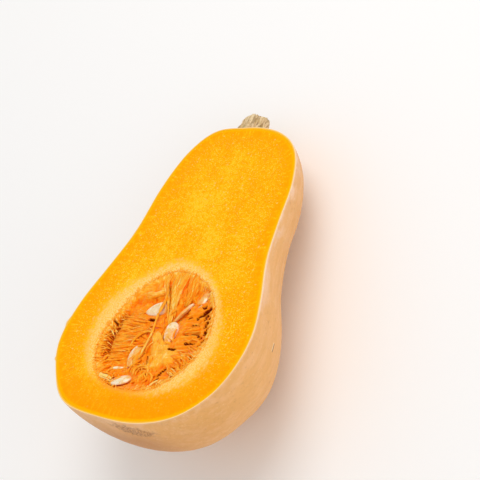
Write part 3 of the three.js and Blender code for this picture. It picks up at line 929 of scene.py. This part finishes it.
comb(17, [(-28.5, 78), (-27.5, 43)], [(-8, 74), (-14.5, 45)], 1.0, (-3.1, -2.5), 1.0, (0.52, 0.7), 0.7)
comb(13, [(-29, 77), (-28, 44)], [(-10, 74), (-15.5, 46)], 0.3, (-2.3, -2.0), 1.1, (0.72, 0.9), 0.7)
comb(11, [(29, 77), (31, 43)], [(15.5, 73), (17, 45)], 1.5, (-3.3, -2.7), 0.95, (0.5, 0.64), 0.5)
comb(9, [(30, 77), (31.5, 44)], [(19, 74), (20, 45)], 0.28, (-2.4, -2.0), 1.1, (0.72, 0.9), 0.5)
for first, last, count, thick in ((206, 246, 12, 0.8), (296, 345, 15, 0.85)):
    for k in range(count):
        bearing = math.radians(first + (last - first) * (k + 0.5) / count + near(1.2))
        inward = drawn(7, 12)
        corners = by_wall(
            bearing, (0, 0.6, -2.2 + near(0.4)), (near(0.05), 4, -2.4 + near(0.3)),
            (near(0.08), 7, -2.6), (near(0.12), inward, -3.8),
        )
        thread(corners, thick * drawn(0.75, 1.35), 0.6, 0.9, drawn(0.5, 0.78))


def knots(count):
    """Short thick ends of yellow string scattered along the wall at the right, clear of the gaps."""
    for k in range(count):
        bearing = math.radians(drawn(-24, 62))
        inward = drawn(0.2, 5.5)
        slant = near(0.06)
        corners = by_wall(
            bearing, (-slant, inward - 1.6, -1.5 - 0.25 * inward), (0, inward, -1.4 - 0.25 * inward),
            (slant, inward + 1.8, -2.2 - 0.3 * inward),
        )
        radius, tint = drawn(0.45, 1.0), drawn(0.7, 1.1)
        open_gap = gap_share(np.array(corners), 1.2 * radius + 0.3)[0].max() > 0.4
        if seed_share(np.array(corners), SEEDS[7]).min() > 1.3 and not open_gap:
            thread(corners, radius, 0.7, 0.9, tint)


knots(46)

# Fibres that cross the groove at the left aslant, tinted deep orange: partly painted shade of the groove.
for k in range(13):
    y = 82 - 2.7 * k + near(0.8)
    bearing = math.atan2(y - middle[1], -35 - middle[0])
    corners = by_wall(
        bearing, (0, -1.0, -0.9 + near(0.3)), (0.05, 1.8, -2.4 + near(0.5)),
        (0.13, 6 + near(1.2), -4.2 + near(0.6)),
    )
    thread(corners, drawn(0.2, 0.4), 0.6, 1.0, drawn(0.3, 0.55))

# Short fibres that tore free of the wall, all the way round it.
for k in range(150):
    bearing = 2 * math.pi * (k + near(0.4)) / 150
    length = drawn(1.5, 4.0)
    start = -0.5 - 1.0 * chance.random()
    slant = near(0.08)
    corners = by_wall(
        bearing, (0, -1.4 - 1.2 * chance.random(), start + 0.1), (slant, length * 0.4, start - 0.6),
        (2 * slant, length, start - 1.9 + near(0.6)),
    )
    thread(corners, drawn(0.25, 0.5), 0.5, 0.9, drawn(0.6, 0.95))

# The bundle from the neck: soft bands that draw together as they come down, with finer strings
# on them, and beside it a wider, darker sheet in folds.
for k in range(12):
    top_x = -7.5 + 14 * (k + 0.5) / 12 + near(0.5)
    low_x = 5.4 + 0.3 * top_x + near(0.5)
    low_y = 73 + near(4)
    corners = [
        (top_x - 0.5, 106, -2.4), (top_x, 99, -1.4 + near(0.2)),
        (1.2 + 0.66 * top_x + near(0.3), 91, -1.5 + near(0.4)),
        (3.4 + 0.42 * top_x + near(0.3), 83, -1.9 + near(0.3)), (low_x, low_y, -3.6),
    ]
    thread(corners, drawn(1.0, 1.7), 0.5, 0.55, drawn(0.6, 0.86))
for k in range(26):
    top_x = drawn(-9, 8)
    corners = [
        (top_x, 105.6 + near(0.6), -1.2 - chance.random()),
        (0.95 * top_x + near(0.6), 98, -0.8 - 0.6 * chance.random()),
        (1.2 + 0.66 * top_x + near(0.8), 90, -0.8 - 0.7 * chance.random()),
        (4.2 + 0.4 * top_x + near(1.0), 80 + near(4), -2.0 + near(0.5)),
    ]
    thread(corners, drawn(0.25, 0.5), 0.6, 1.0, drawn(0.66, 1.0))
for k in range(8):
    top_x = 8.5 + 9.5 * k / 8 + near(0.5)
    corners = [
        (top_x, 104.5 - 0.85 * k, -2.2), (0.8 * top_x + 3.4, 97.5 - 0.6 * k, -1.8 + near(0.4)),
        (0.5 * top_x + 7.4 + near(0.6), 90 - 0.4 * k, -2.3 + near(0.4)),
        (0.3 * top_x + 8 + near(1), 83.5, -4.2),
    ]
    thread(corners, drawn(1.3, 2.1), 0.5, 0.5, drawn(0.46, 0.62))
for k in range(12):
    top_x = drawn(8, 19)
    corners = [
        (top_x, 104 - 0.5 * (top_x - 8), -1.4 + near(0.3)),
        (0.8 * top_x + 3.4 + near(0.8), 96, -1.2 + near(0.4)),
        (0.5 * top_x + 7 + near(1), 89, -1.7 + near(0.5)), (0.3 * top_x + 8 + near(1), 82, -3.8),
    ]
    thread(corners, drawn(0.25, 0.5), 0.6, 1.1, drawn(0.55, 0.85))

# A deep orange band lies between the bundle and the sheet, and a thick roll under the fold.
for x in (5.9, 7.1):
    thread([(x, 104, -1.9), (x, 98, -1.9), (x + 0.6, 91, -2.1), (x + 1.4, 84, -3.2)], 1.0, 0.7, 0.6, 0.12)
for shift, tint in ((0, 0.85), (-1.6, 0.6), (1.4, 0.95)):
    corners = [(-20, 89.6, -2.4), (-16, 90.2, -1.5), (-12, 89.4, -1.3), (-8, 91, -1.6), (-5.5, 92, -2.6)]
    thread(np.add(corners, (0, shift, 0)), 1.1 - 0.3 * abs(shift), 0.9, 0.8, tint)

# Single strings that stand out: one over the end of the upper seed and on down the middle, and
# the arc over the seed at the left. Two finer ones lie beside each.
for shift in (0, 0.9, -0.7):
    corners = [
        (-8 + shift, 104, -1.6), (-4.5 + shift, 94, -0.9), (-2.4, 87, -0.9),
        (-2.4 + 1.2 * shift, 80, -0.9), (-3.2, 75, -1.1),
    ]
    thread(corners, 1.0 - 0.3 * abs(shift), 0.9, 0.4, 0.68)
    corners = [
        (-3.4 + shift, 76, -1.0), (-2.8, 70, -1.1), (-1.8, 62 + shift, -1.0),
        (-3.2 + 0.5 * shift, 52, -1.3), (-4.6, 44, -2.6),
    ]
    thread(corners, 0.58 - 0.2 * abs(shift), 0.8, 1.0, 0.88)
    corners = [
        (-15.6, 53 + shift, -3.6), (-13.5, 58 + shift, -1.8), (-9.5, 62.4 + shift, -1.4),
        (-3.5, 63.4, -1.3), (2, 60.5, -2.6),
    ]
    thread(corners, 0.6 - 0.2 * abs(shift), 0.8, 1.0, 0.74)


def curl(x, y, radius, start, sweep, height, thick, tint):
    """A string curled round a place, from a bearing in degrees through so many degrees."""
    corners = []
    for k in range(6):
        turn = math.radians(start + sweep * k / 5)
        reach = radius * (1 + near(0.12))
        lift = height - 1.1 * abs(2 * k / 5 - 1) ** 2
        corners.append((x + reach * math.cos(turn), y + reach * math.sin(turn), lift))
    thread(corners, thick, 0.8, 1.0, tint)


# The curls at the bottom, and three broad flaps that spread from the lobe.
curl(1.6, 35, 5.2, 190, -220, -1.5, 0.75, 0.8)
curl(1.8, 35, 4.0, 200, -200, -1.7, 0.5, 0.66)
curl(6.5, 30.5, 4.4, 170, -190, -1.7, 0.7, 0.78)
curl(-4, 37, 4.5, 20, 170, -1.8, 0.5, 0.7)
curl(9.5, 35, 4.5, 100, 150, -1.9, 0.6, 0.72)
for k in range(12):
    curl(*(drawn(low, high) for low, high in (
        (-6, 13), (27, 39), (2.4, 5), (0, 360), (50, 120), (-2.6, -1.8), (0.35, 0.8), (0.4, 0.75),
    )))
for x, y in [(-0.4, 64.5), (22.5, 48), (15, 38)]:
    bend = near(1.0)
    halfway = (9.5 + 0.5 * (x - 9.5) + bend, 51 + 0.5 * (y - 51) + bend, -1.9)
    thread([(9.5, 51, -3.0), halfway, (x, y, -2.8)], 2.6, 0.35, 0.35, 0.8)

# The web: fine wet threads and thin flaps that run from the wall and the neck to the middle. Each
# that would cross a seed, a gap or the ribs is dropped.
clear_seeds = [SEEDS[k] for k in (0, 1, 2, 3, 5, 7)]
made = 0
while made < 120:
    bearing = drawn(0, 2 * math.pi)
    out = math.sqrt(drawn(0.02, 0.9)) * reach_of(HOLLOW_RIM, bearing) / MM
    start = middle + out * np.array((math.cos(bearing), math.sin(bearing)))
    goal = np.array((2 + near(8), 62 + near(14)))
    if made % 3 == 0:
        goal = start + (near(5), drawn(7, 15))
    step = goal - start
    length = min(np.linalg.norm(step), drawn(6, 15))
    step = step / max(np.linalg.norm(step), 1e-6)
    across = np.array((-step[1], step[0]))
    lift = drawn(-3.2, -1.7)
    corners = [(*start, lift - 1.8)]
    for along in (0.33, 0.66):
        corners.append((*(start + step * length * along + across * near(1.1)), lift + near(0.5)))
    corners.append((*(start + step * length), lift - 1.6))
    path = along_path(corners, THREAD_ROWS)
    if min(seed_share(path, seed).min() for seed in clear_seeds) < 1.1 or gap_share(path, 0.8)[0].max() > 0.3:
        continue
    flap = made % 3 == 2
    made += 1
    at_side = np.maximum(between(path[:, 0], -37, -12, 2), between(path[:, 0], 17, 36, 2))
    if (between(path[:, 1], 44, 79, 2) * at_side).max() > 0.5:
        continue
    radius = drawn(0.9, 1.8) if flap else drawn(0.18, 0.42)
    thread(corners, radius, 0.5, 0.35 if flap else 1.1, drawn(0.45, 0.75 if flap else 0.95))


def over_seed(number, along, aside, heading, length, radius, tint):
    """A film or string across a seed, at a place measured along and aside from its middle."""
    x, y, z, seed_heading, roll = SEEDS[number - 1]
    turn, way = math.radians(seed_heading), math.radians(heading)
    place_x = x + along * math.cos(turn) - aside * math.sin(turn)
    place_y = y + along * math.sin(turn) + aside * math.cos(turn)
    step_x, step_y = math.cos(way) * length, math.sin(way) * length
    steps = [(-0.5, -0.8), (-0.25, 1.2), (0, 1.5), (0.25, 1.2), (0.5, -0.8)]
    corners = [(place_x + k * step_x, place_y + k * step_y, z + lift) for k, lift in steps]
    thread(corners, radius, 0.8, 0.25 if radius > 0.6 else 1.0, tint)


# The films and strings that cling to the seeds. Each: the seed's number, how far along and aside
# of its middle, the heading, the length, the radius and the tint.
for film in [
    (1, 3.2, 0, 80, 11, 0.4, 0.85), (3, -7.2, 0.5, 4, 9, 1.0, 0.7), (3, -2.0, -3.9, 100, 12, 0.5, 0.7),
    (3, 0.5, 3.6, 84, 12, 0.55, 0.55), (3, -3.6, -1.0, -30, 9, 0.3, 0.85),
    (4, 1.0, -2.6, 74, 15, 1.5, 0.62), (4, 1.0, -4.0, 70, 15, 1.2, 0.5), (4, 1.0, -1.4, 60, 15, 0.35, 0.9),
    (4, 6.5, 0, 10, 9, 1.0, 0.62), (4, -1.5, 0.4, 50, 9, 0.3, 0.9), (6, -7.2, 0, 100, 7, 1.0, 0.5),
    (6, -5.0, 0.5, 96, 8, 0.3, 0.8), (8, 3.0, 1.2, 76, 9, 0.75, 0.4), (8, -6.6, 0, 150, 12, 1.3, 0.55),
    (8, -4.4, 0, 150, 12, 1.3, 0.6), (8, -2.6, 0, 150, 12, 1.3, 0.52), (9, 0.5, 0, 140, 9, 1.3, 0.5),
    (9, 2.8, 0, 140, 9, 1.3, 0.5), (9, 5.0, 0, 140, 9, 1.3, 0.5),
]:
    over_seed(*film)

# The pale skin that the seventh seed hangs in shows at the rim, and so does the ninth seed's edge.
thread([(-26.8, 34.0, -1.0), (-24.5, 33.6, -1.1), (-21, 32.8, -1.5), (-17, 31.0, -2.4)], 1.1, 0.8, 0.3, 1.3)
thread([(-26.6, 32.8, -0.9), (-23.5, 31.8, -1.1), (-20, 30.8, -1.4), (-16, 29.0, -2.2)], 0.42, 0.8, 1.0, 1.4)
thread([(-25, 35.4, -1.1), (-21, 34.8, -1.4), (-17, 33.0, -2.4)], 0.7, 0.8, 0.6, 0.5)
thread([(12.4, 25.6, -1.6), (13.6, 27.0, -1.2), (15.0, 28.6, -1.4), (16.2, 30.2, -2.2)], 0.62, 0.8, 0.8, 1.4)

knots(22)


def fringe(first, last, count, reach, tints):
    """Torn ends of string that stand out from the wall between two bearings in degrees."""
    for k in range(count):
        bearing = math.radians(drawn(first, last))
        inward = drawn(0.2, reach)
        length = drawn(1.5, 3.5)
        slant = near(0.07)
        corners = by_wall(
            bearing, (-slant, inward - 0.8, -0.9 - 0.35 * inward),
            (0, inward + 0.4 * length, -1.1 - 0.4 * inward), (slant, inward + length, -2.2 - 0.45 * inward),
        )
        thread(corners, drawn(0.2, 0.45), 0.5, 1.0, drawn(*tints))


fringe(148, 212, 75, 5.5, (0.5, 1.1))
fringe(272, 345, 60, 4.0, (0.55, 1.1))

# Pale streaks lie side by side at the lower right, drawn up towards the lobe.
for k in range(40):
    bearing = math.radians(drawn(298, 343))
    inward = drawn(0.8, 9)
    (x, y, z), = by_wall(bearing, (0, inward, -1.3 - 0.12 * inward))
    length = drawn(4, 8)
    corners = [
        (x, y, z - 0.4), (x - 0.4 * length, y + 0.25 * length, z + 0.1),
        (x - 0.87 * length, y + 0.5 * length, z - 0.9),
    ]
    thread(corners, drawn(0.3, 0.6), 0.5, 0.8, drawn(0.35, 1.1))

# Three threads still hold each seed by its point.
for x, y, z, heading, roll in SEEDS:
    ahead = np.array((math.cos(math.radians(heading)), math.sin(math.radians(heading))))
    tip = np.array((x, y)) - ahead * SEED_LENGTH / 2 * 0.96
    for k in range(3):
        away = -ahead + 0.8 * np.array((-ahead[1], ahead[0])) * (k - 1)
        steps = [(ahead * 1.2, 0.1), (-ahead * 0.6, 0.7), (away * 4, 0.4), (away * 7, -1.2)]
        thread([(*(tip + step), z + lift) for step, lift in steps], 0.3, 0.7, 1.0, 0.8)


def thread_mesh(first):
    """All the threads as closed tubes, numbered from first: their points and faces, how pale each
    point is and how much its string runs across the squash."""
    points, faces, tints, flows = [], [], [], []
    turn = np.arange(THREAD_SIDES) * 2 * math.pi / THREAD_SIDES
    share = np.linspace(0, 1, THREAD_ROWS)
    for corners, radius, tip, upright, tint in threads:
        path = along_path(corners, THREAD_ROWS)
        path[:, 2] = np.minimum(path[:, 2], -THREAD_SUNK - radius * upright)
        forward = np.gradient(path, axis=0)
        forward /= np.linalg.norm(forward, axis=1, keepdims=True) + 1e-9
        side = np.cross(forward, (0, 0, 1))
        side /= np.linalg.norm(side, axis=1, keepdims=True) + 1e-9
        over = np.cross(side, forward)
        size = radius * (1 + (tip - 1) * share) * np.minimum(1, 0.4 + 6 * np.minimum(share, 1 - share))
        size = size * (1 + 0.18 * np.sin(9 * share + 40 * tint))
        tube = path[:, None] + (size[:, None] * np.cos(turn))[..., None] * side[:, None]
        tube += (size[:, None] * np.sin(turn) * upright)[..., None] * over[:, None]
        rows = rings(THREAD_ROWS, THREAD_SIDES, first)
        first += THREAD_ROWS * THREAD_SIDES
        faces += walls(rows[::-1]) + [tuple(rows[0, :-1]), tuple(rows[-1, -2::-1])]
        points.append(tube.reshape(-1, 3))
        tints.append(np.repeat(tint + 0.1 * np.sin(7 * share + 11 * tint), THREAD_SIDES))
        flows.append(np.repeat(np.abs(forward[:, 0]), THREAD_SIDES))
    return np.vstack(points), faces, np.concatenate(tints), np.concatenate(flows)


strings, string_faces, string_tint, string_flow = thread_mesh(len(core))
pulp = new_mesh(
    "pulp_strings", np.vstack([core, strings]) * MM, core_faces + string_faces,
    tint=np.concatenate([core_tint, hidden, string_tint]),
    flow=np.concatenate([smooth_step(8, 20, np.abs(core[:, 0])), string_flow]),
    gap=np.concatenate([core_gap_shade, hidden, np.zeros(len(strings))]),
)

# The dark red-brown painted into the gaps and the groove as shade.
PULP_GAP_SHADE = colour(128, 28, 0)
PULP_RED = colour(250, 110, 0)
PULP_ORANGE = colour(255, 145, 12)
PULP_GOLD = colour(255, 178, 48)
PULP_PALE_AND_GLINT = colour(255, 214, 120)
PULP_SHEEN = colour(255, 182, 64)

pulp_finish, tree, shader = new_finish("squash_pulp", {
    "Roughness": 0.34, "Specular IOR Level": 0.32, "Specular Tint": PULP_SHEEN,
    "Coat Weight": 0.07, "Coat Roughness": 0.1,
    "Subsurface Weight": 0.2, "Subsurface Radius": (1.0, 0.6, 0.2), "Subsurface Scale": 0.35 * MM,
})
place = stored(tree, "grown", "Vector")
lengthwise = use_effect(grain, place, 900, 1, 0.3, 1, 4)
crosswise = use_effect(grain, place, 900, 0.3, 1, 1, 4)
patches = use_effect(grain, place, 260, 1, 1, 1, 3)
sideways = stored(tree, "flow").span(0.45, 0.75)
fibres = node(tree, "Mix", {0: sideways, 2: lengthwise, 3: crosswise}, data_type="FLOAT").outputs[0]
fibres = Shade(fibres)
# The palest tone is partly the pale strings' own colour and partly painted wet highlight along the fibres.
level = stored(tree, "tint") + (fibres - 0.5) * 1.2 + (patches - 0.5) * 0.5
base = layered(
    PULP_RED,
    (level.span(0.15, 0.5), PULP_ORANGE),
    (level.span(0.5, 0.85), PULP_GOLD),
    (level.span(0.85, 1.15), PULP_PALE_AND_GLINT),
    # Painted shade in the gaps and the groove.
    (stored(tree, "gap").span(0.05, 0.75), PULP_GAP_SHADE),
)
dress(tree, shader, base, fibres, 0.5, 0.16)
pulp.data.materials.append(pulp_finish)
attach(pulp, "root")
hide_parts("pulp")


# ------------------------------------------------------------------------------------ The seeds
# Flat ivory seeds, pointed at the end that hung on the pulp, with a thickened margin round each
# face and a thin, shiny wet coat. They lie in the pulp and touch nothing else. In millimetres.
SEED_AROUND = 44
SEED_ROWS = 22
MARGIN_RISE = 0.22
MARGIN_PLACE = 0.8
MARGIN_WIDTH = 0.09
MARGIN_PALE_WIDTH = 0.12
SEED_SWELL = 0.32
SEED_UNEVEN = 0.05
# How much pulp film clings to each: all over, more towards its round end, more towards one side.
SEED_FILMS = [
    (0.1, 0.75, 0.1), (0.85, -0.2, 0), (0.6, -0.5, 0.1), (1.05, 0.1, -0.75), (0.42, 0, 0),
    (0.1, 0.45, 0), (0.3, 0.4, 0), (1.1, -0.1, 0.6), (0.4, 0, 0),
]


def seed_coat(name, place, film):
    """One seed: rings of points from its point to its round end, flat-sided and thick-rimmed."""
    x, y, z, heading, roll = place
    along = (1 - np.cos(np.linspace(0, math.pi, SEED_ROWS + 1))) / 2
    swell = along ** 0.75 * (1 - along) ** 0.5
    swell = (swell / (0.6 ** 0.75 * 0.4 ** 0.5))[:, None]
    turn = np.arange(SEED_AROUND) * 2 * math.pi / SEED_AROUND
    across = np.cos(turn)
    points = np.zeros((SEED_ROWS + 1, SEED_AROUND, 3))
    points[..., 0] = (along[:, None] - 0.5) * SEED_LENGTH
    points[..., 1] = swell * across * SEED_WIDTH / 2
    edge = np.sqrt(np.maximum(1 - np.abs(across) ** 3, 0))
    nearness = np.maximum(np.abs(across), np.abs(2 * along[:, None] - 1) ** 3)
    margin = MARGIN_RISE * np.exp(-((nearness - MARGIN_PLACE) / MARGIN_WIDTH) ** 2)
    hump = SEED_THICKNESS / 2 * swell ** 0.6 * edge * (0.78 + SEED_SWELL * (1 - nearness ** 2))
    side = np.sign(np.sin(turn) + 1e-12)
    points[..., 2] = side * np.abs(hump) * np.minimum(1, np.abs(np.sin(turn)) ** 0.5 + 0.25)
    points[..., 2] += side * margin * edge * swell
    rim_share = np.exp(-((nearness - MARGIN_PLACE) / MARGIN_PALE_WIDTH) ** 2)
    everywhere, lengthwise, sideways = film
    cling = everywhere + lengthwise * points[..., 0] / (SEED_LENGTH / 2)
    cling = cling + sideways * points[..., 1] / (SEED_WIDTH / 2)
    coat = grid_points(points)
    numbers = grid_numbers(SEED_ROWS + 1, SEED_AROUND)
    faces = joined(np.hstack([numbers, numbers[:, :1]]))
    rim_share, cling = (np.concatenate([v[0, :1], v[1:-1].ravel(), v[-1, :1]]) for v in (rim_share, cling))
    turns = Matrix.Rotation(math.radians(heading), 3, "Z") @ Matrix.Rotation(math.radians(roll), 3, "X")
    coat = coat + SEED_UNEVEN * lumps(coat + 5 * x, 2.5, 2)[:, None] * (0.3, 0.3, 1)
    coat = (coat @ np.array(turns).T + (x, y, z)) * MM
    return new_mesh(name, coat, faces, margin=rim_share, film=cling)


SEED_IVORY = colour(250, 228, 188)
SEED_EDGE = colour(250, 237, 212)
SEED_SHADE = colour(228, 188, 122)
FILM_ORANGE = colour(246, 150, 12)
FILM_GOLD = colour(244, 190, 78)

seed_finish, tree, shader = new_finish("squash_seed", {
    "Roughness": 0.3, "Specular IOR Level": 0.5, "Coat Weight": 0.25, "Coat Roughness": 0.1,
    "Subsurface Weight": 0.2, "Subsurface Radius": (1.0, 0.7, 0.35), "Subsurface Scale": 0.6 * MM,
})
place = stored(tree, "grown", "Vector")
silk = use_effect(grain, place, 900, 1, 0.6, 1, 4)
stain = use_effect(grain, place, 240, 1, 1, 1, 3)
cling = stored(tree, "film") + (stain - 0.5) * 1.6 + (silk - 0.5) * 1.7
film = cling.span(0.3, 0.75)
base = layered(
    SEED_IVORY,
    (stain.span(0.45, 0.65, 0.0, 0.6), SEED_SHADE),
    (silk.span(0.5, 0.66, 0.0, 0.6), SEED_SHADE),
    (stored(tree, "margin") * 0.7, SEED_EDGE),
    (film * 0.9, silk.span(0.42, 0.6).blend(FILM_ORANGE, FILM_GOLD)),
)
dress(tree, shader, base, silk + film * 1.5, 0.3, 0.12)
for number, (place, film) in enumerate(zip(SEEDS, SEED_FILMS), 1):
    coat = seed_coat(f"seed_coat_{number:02d}", place, film)
    coat.data.materials.append(seed_finish)
    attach(coat, "root")
    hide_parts(f"seed_{number:02d}")


# ------------------------------------------------------------------------------------- The stem
# The dry stub of the stem where it was broken from the vine: hard, five-ribbed, corky, grown fast
# to the dimple at the top of the neck. Its end is torn and hollowed. Sizes are in millimetres.
STEM_RADIUS = 9.5
STEM_LENGTH = 15
STEM_ROOT = 0.1
STEM_RIBS = 5
STEM_RIB_HEIGHT = 0.1
# The width at shares of the length, from the root in the dimple to the broken end.
STEM_TAPER = [(-0.1, 1.04), (0, 1.02), (0.12, 0.97), (0.3, 0.9), (0.65, 0.81), (0.9, 0.86), (1, 0.78)]
STEM_LEAN = 2.5
STEM_AROUND = 200
STEM_ROWS = 90
STEM_END_ROWS = 18
STEM_END_IN = 1.2
STEM_HOLLOW = 1.3
STEM_BELOW_CUT = 0.5
# How deep the cracks go, and the rise and size of the finer grain of the bark.
BARK_CRACKS = 0.34
BARK_GRAIN = (0.2, 0.7)

turn = np.arange(STEM_AROUND) * 2 * math.pi / STEM_AROUND
heights, widths = np.array(STEM_TAPER).T
up = np.linspace(-STEM_ROOT, 1, STEM_ROWS)[:, None]
ribs = 1 + STEM_RIB_HEIGHT * np.cos(STEM_RIBS * turn)
broken = 1.1 * np.sin(2 * turn) + 0.8 * np.cos(3 * turn)
rise = up * STEM_LENGTH + broken * smooth_step(0.5, 1, up)
spread = STEM_RADIUS * np.interp(up, heights, widths) * (1 + (ribs - 1) * (0.7 + 0.6 * (1 - up)))
shell_x = spread * np.cos(turn) + STEM_LEAN * np.clip(up, 0, 1) ** 1.3
shell = np.stack([shell_x, rise, spread * np.sin(turn)], axis=2)
inner_share = np.linspace(1, 0, STEM_END_ROWS + 1)[1:-1, None]
end_middle = np.array((STEM_LEAN, STEM_LENGTH - STEM_END_IN, 0))
end = end_middle + (shell[-1] - end_middle) * inner_share[..., None]
end[..., 1] -= STEM_HOLLOW * (1 - inner_share ** 2)
stem_points = np.vstack([
    shell.reshape(-1, 3), end.reshape(-1, 3),
    [end_middle - (0, STEM_HOLLOW, 0), (0, -STEM_ROOT * STEM_LENGTH, 0)],
])
rows = rings(STEM_ROWS + len(inner_share), STEM_AROUND)
faces = walls(rows[::-1]) + fan(len(stem_points) - 2, rows[-1][::-1]) + fan(len(stem_points) - 1, rows[0])
cracks = lumps(stem_points * (1, 0.28, 1), 1.5, 3)
torn = smooth_step(STEM_LENGTH * 0.72, STEM_LENGTH * 0.95, stem_points[:, 1])
bark = BARK_CRACKS * cracks + uneven(stem_points, *BARK_GRAIN)
stem_points = stem_points + outward(stem_points, faces) * bark[:, None]
stem_points[:, 1] += torn * lumps(stem_points * (1, 0.1, 1) + 3, 1.2, 2)
stem_points = (stem_points + np.array(STEM_FOOT) / MM) * MM
stem_points[:, 2] = np.minimum(stem_points[:, 2], -STEM_BELOW_CUT * MM)
stem = new_mesh("stem_stub", stem_points, faces, crack=smooth_step(0.05, -0.45, cracks), torn=torn)

STEM_TAN = colour(194, 158, 106)
STEM_CREAM = colour(236, 212, 170)
STEM_GREEN = colour(176, 164, 92)
STEM_BROWN = colour(140, 110, 70)

stem_finish, tree, shader = new_finish("squash_stem", {"Roughness": 0.8, "Specular IOR Level": 0.3})
place = stored(tree, "grown", "Vector")
fibres = use_effect(grain, place, 900, 1, 0.12, 1, 5)
blotch = use_effect(grain, place, 190, 1, 0.7, 1, 3)
cork_dots = use_effect(flecks, place, 700, 0.3, 0.25)
base = layered(
    STEM_TAN,
    (fibres.span(0.35, 0.65), STEM_CREAM),
    (blotch.span(0.52, 0.68, 0.0, 0.8), STEM_GREEN),
    (cork_dots * 0.5, STEM_BROWN),
    (stored(tree, "torn") * 0.4, STEM_CREAM),
    (stored(tree, "crack") * 0.6, STEM_BROWN),
)
dress(tree, shader, base, fibres, 0.6, 0.25)
stem.data.materials.append(stem_finish)
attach(stem, "root")
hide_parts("stem")


# ------------------------------------------------------------------------------- Floor and light
# A plain white studio floor, one large soft light from behind the stem end and soft light from
# all round, as in a catalogue picture.
FLOOR_SIZE = 6.0
CAMERA_PLACE = (0.73711, -0.35622, 0.96609)
CAMERA_RIGHT = (0.81094, 0.17155, -0.55942)
CAMERA_UP = (0.04299, 0.936, 0.34935)
CAMERA_BACK = (0.58355, -0.30735, 0.75167)
CAMERA_LENS = 159
NEAREST_SEEN = 0.05
SUBJECT = (0.0, 0.0, 0.05)
WORLD_STRENGTH = 0.66

half = FLOOR_SIZE / 2
corners = [(-half, -half, 0), (half, -half, 0), (half, half, 0), (-half, half, 0)]
floor = bpy.data.objects.new("floor", plain_mesh("floor", corners, [(0, 1, 2, 3)]))
bpy.context.scene.collection.objects.link(floor)
floor_finish, tree, shader = new_finish("studio_floor", {
    "Base Color": colour(250, 249, 248), "Roughness": 0.6, "Specular IOR Level": 0.2,
})
floor.data.materials.append(floor_finish)


def soft_light(name, direction, distance, size, power, tint):
    """A square area light that faces the middle of the squash."""
    data = bpy.data.lights.new(name, "AREA")
    data.size = size
    data.energy = power
    data.color = tint
    lamp = bpy.data.objects.new(name, data)
    away = Vector(direction).normalized()
    lamp.location = Vector(SUBJECT) + away * distance
    lamp.rotation_euler = away.to_track_quat("Z", "Y").to_euler()
    bpy.context.scene.collection.objects.link(lamp)


soft_light("key_light", (0.22, 0.45, 0.87), 1.6, 1.0, 10.5, (1.0, 0.98, 0.96))
soft_light("fill_light", (0.9, -0.45, 0.5), 2.0, 1.4, 4.5, (1.0, 0.99, 0.98))

world = bpy.data.worlds.new("studio")
world.use_nodes = True
background = world.node_tree.nodes["Background"]
background.inputs["Color"].default_value = (1.0, 1.0, 1.0, 1.0)
background.inputs["Strength"].default_value = WORLD_STRENGTH
bpy.context.scene.world = world

lens = bpy.data.cameras.new("camera")
lens.lens = CAMERA_LENS
lens.clip_start = NEAREST_SEEN
camera = bpy.data.objects.new("camera", lens)
axes = Matrix((CAMERA_RIGHT, CAMERA_UP, CAMERA_BACK)).transposed()
camera.matrix_world = Matrix.Translation(CAMERA_PLACE) @ axes.to_4x4()
bpy.context.scene.collection.objects.link(camera)
bpy.context.scene.camera = camera
bpy.context.scene.view_settings.view_transform = "Standard"
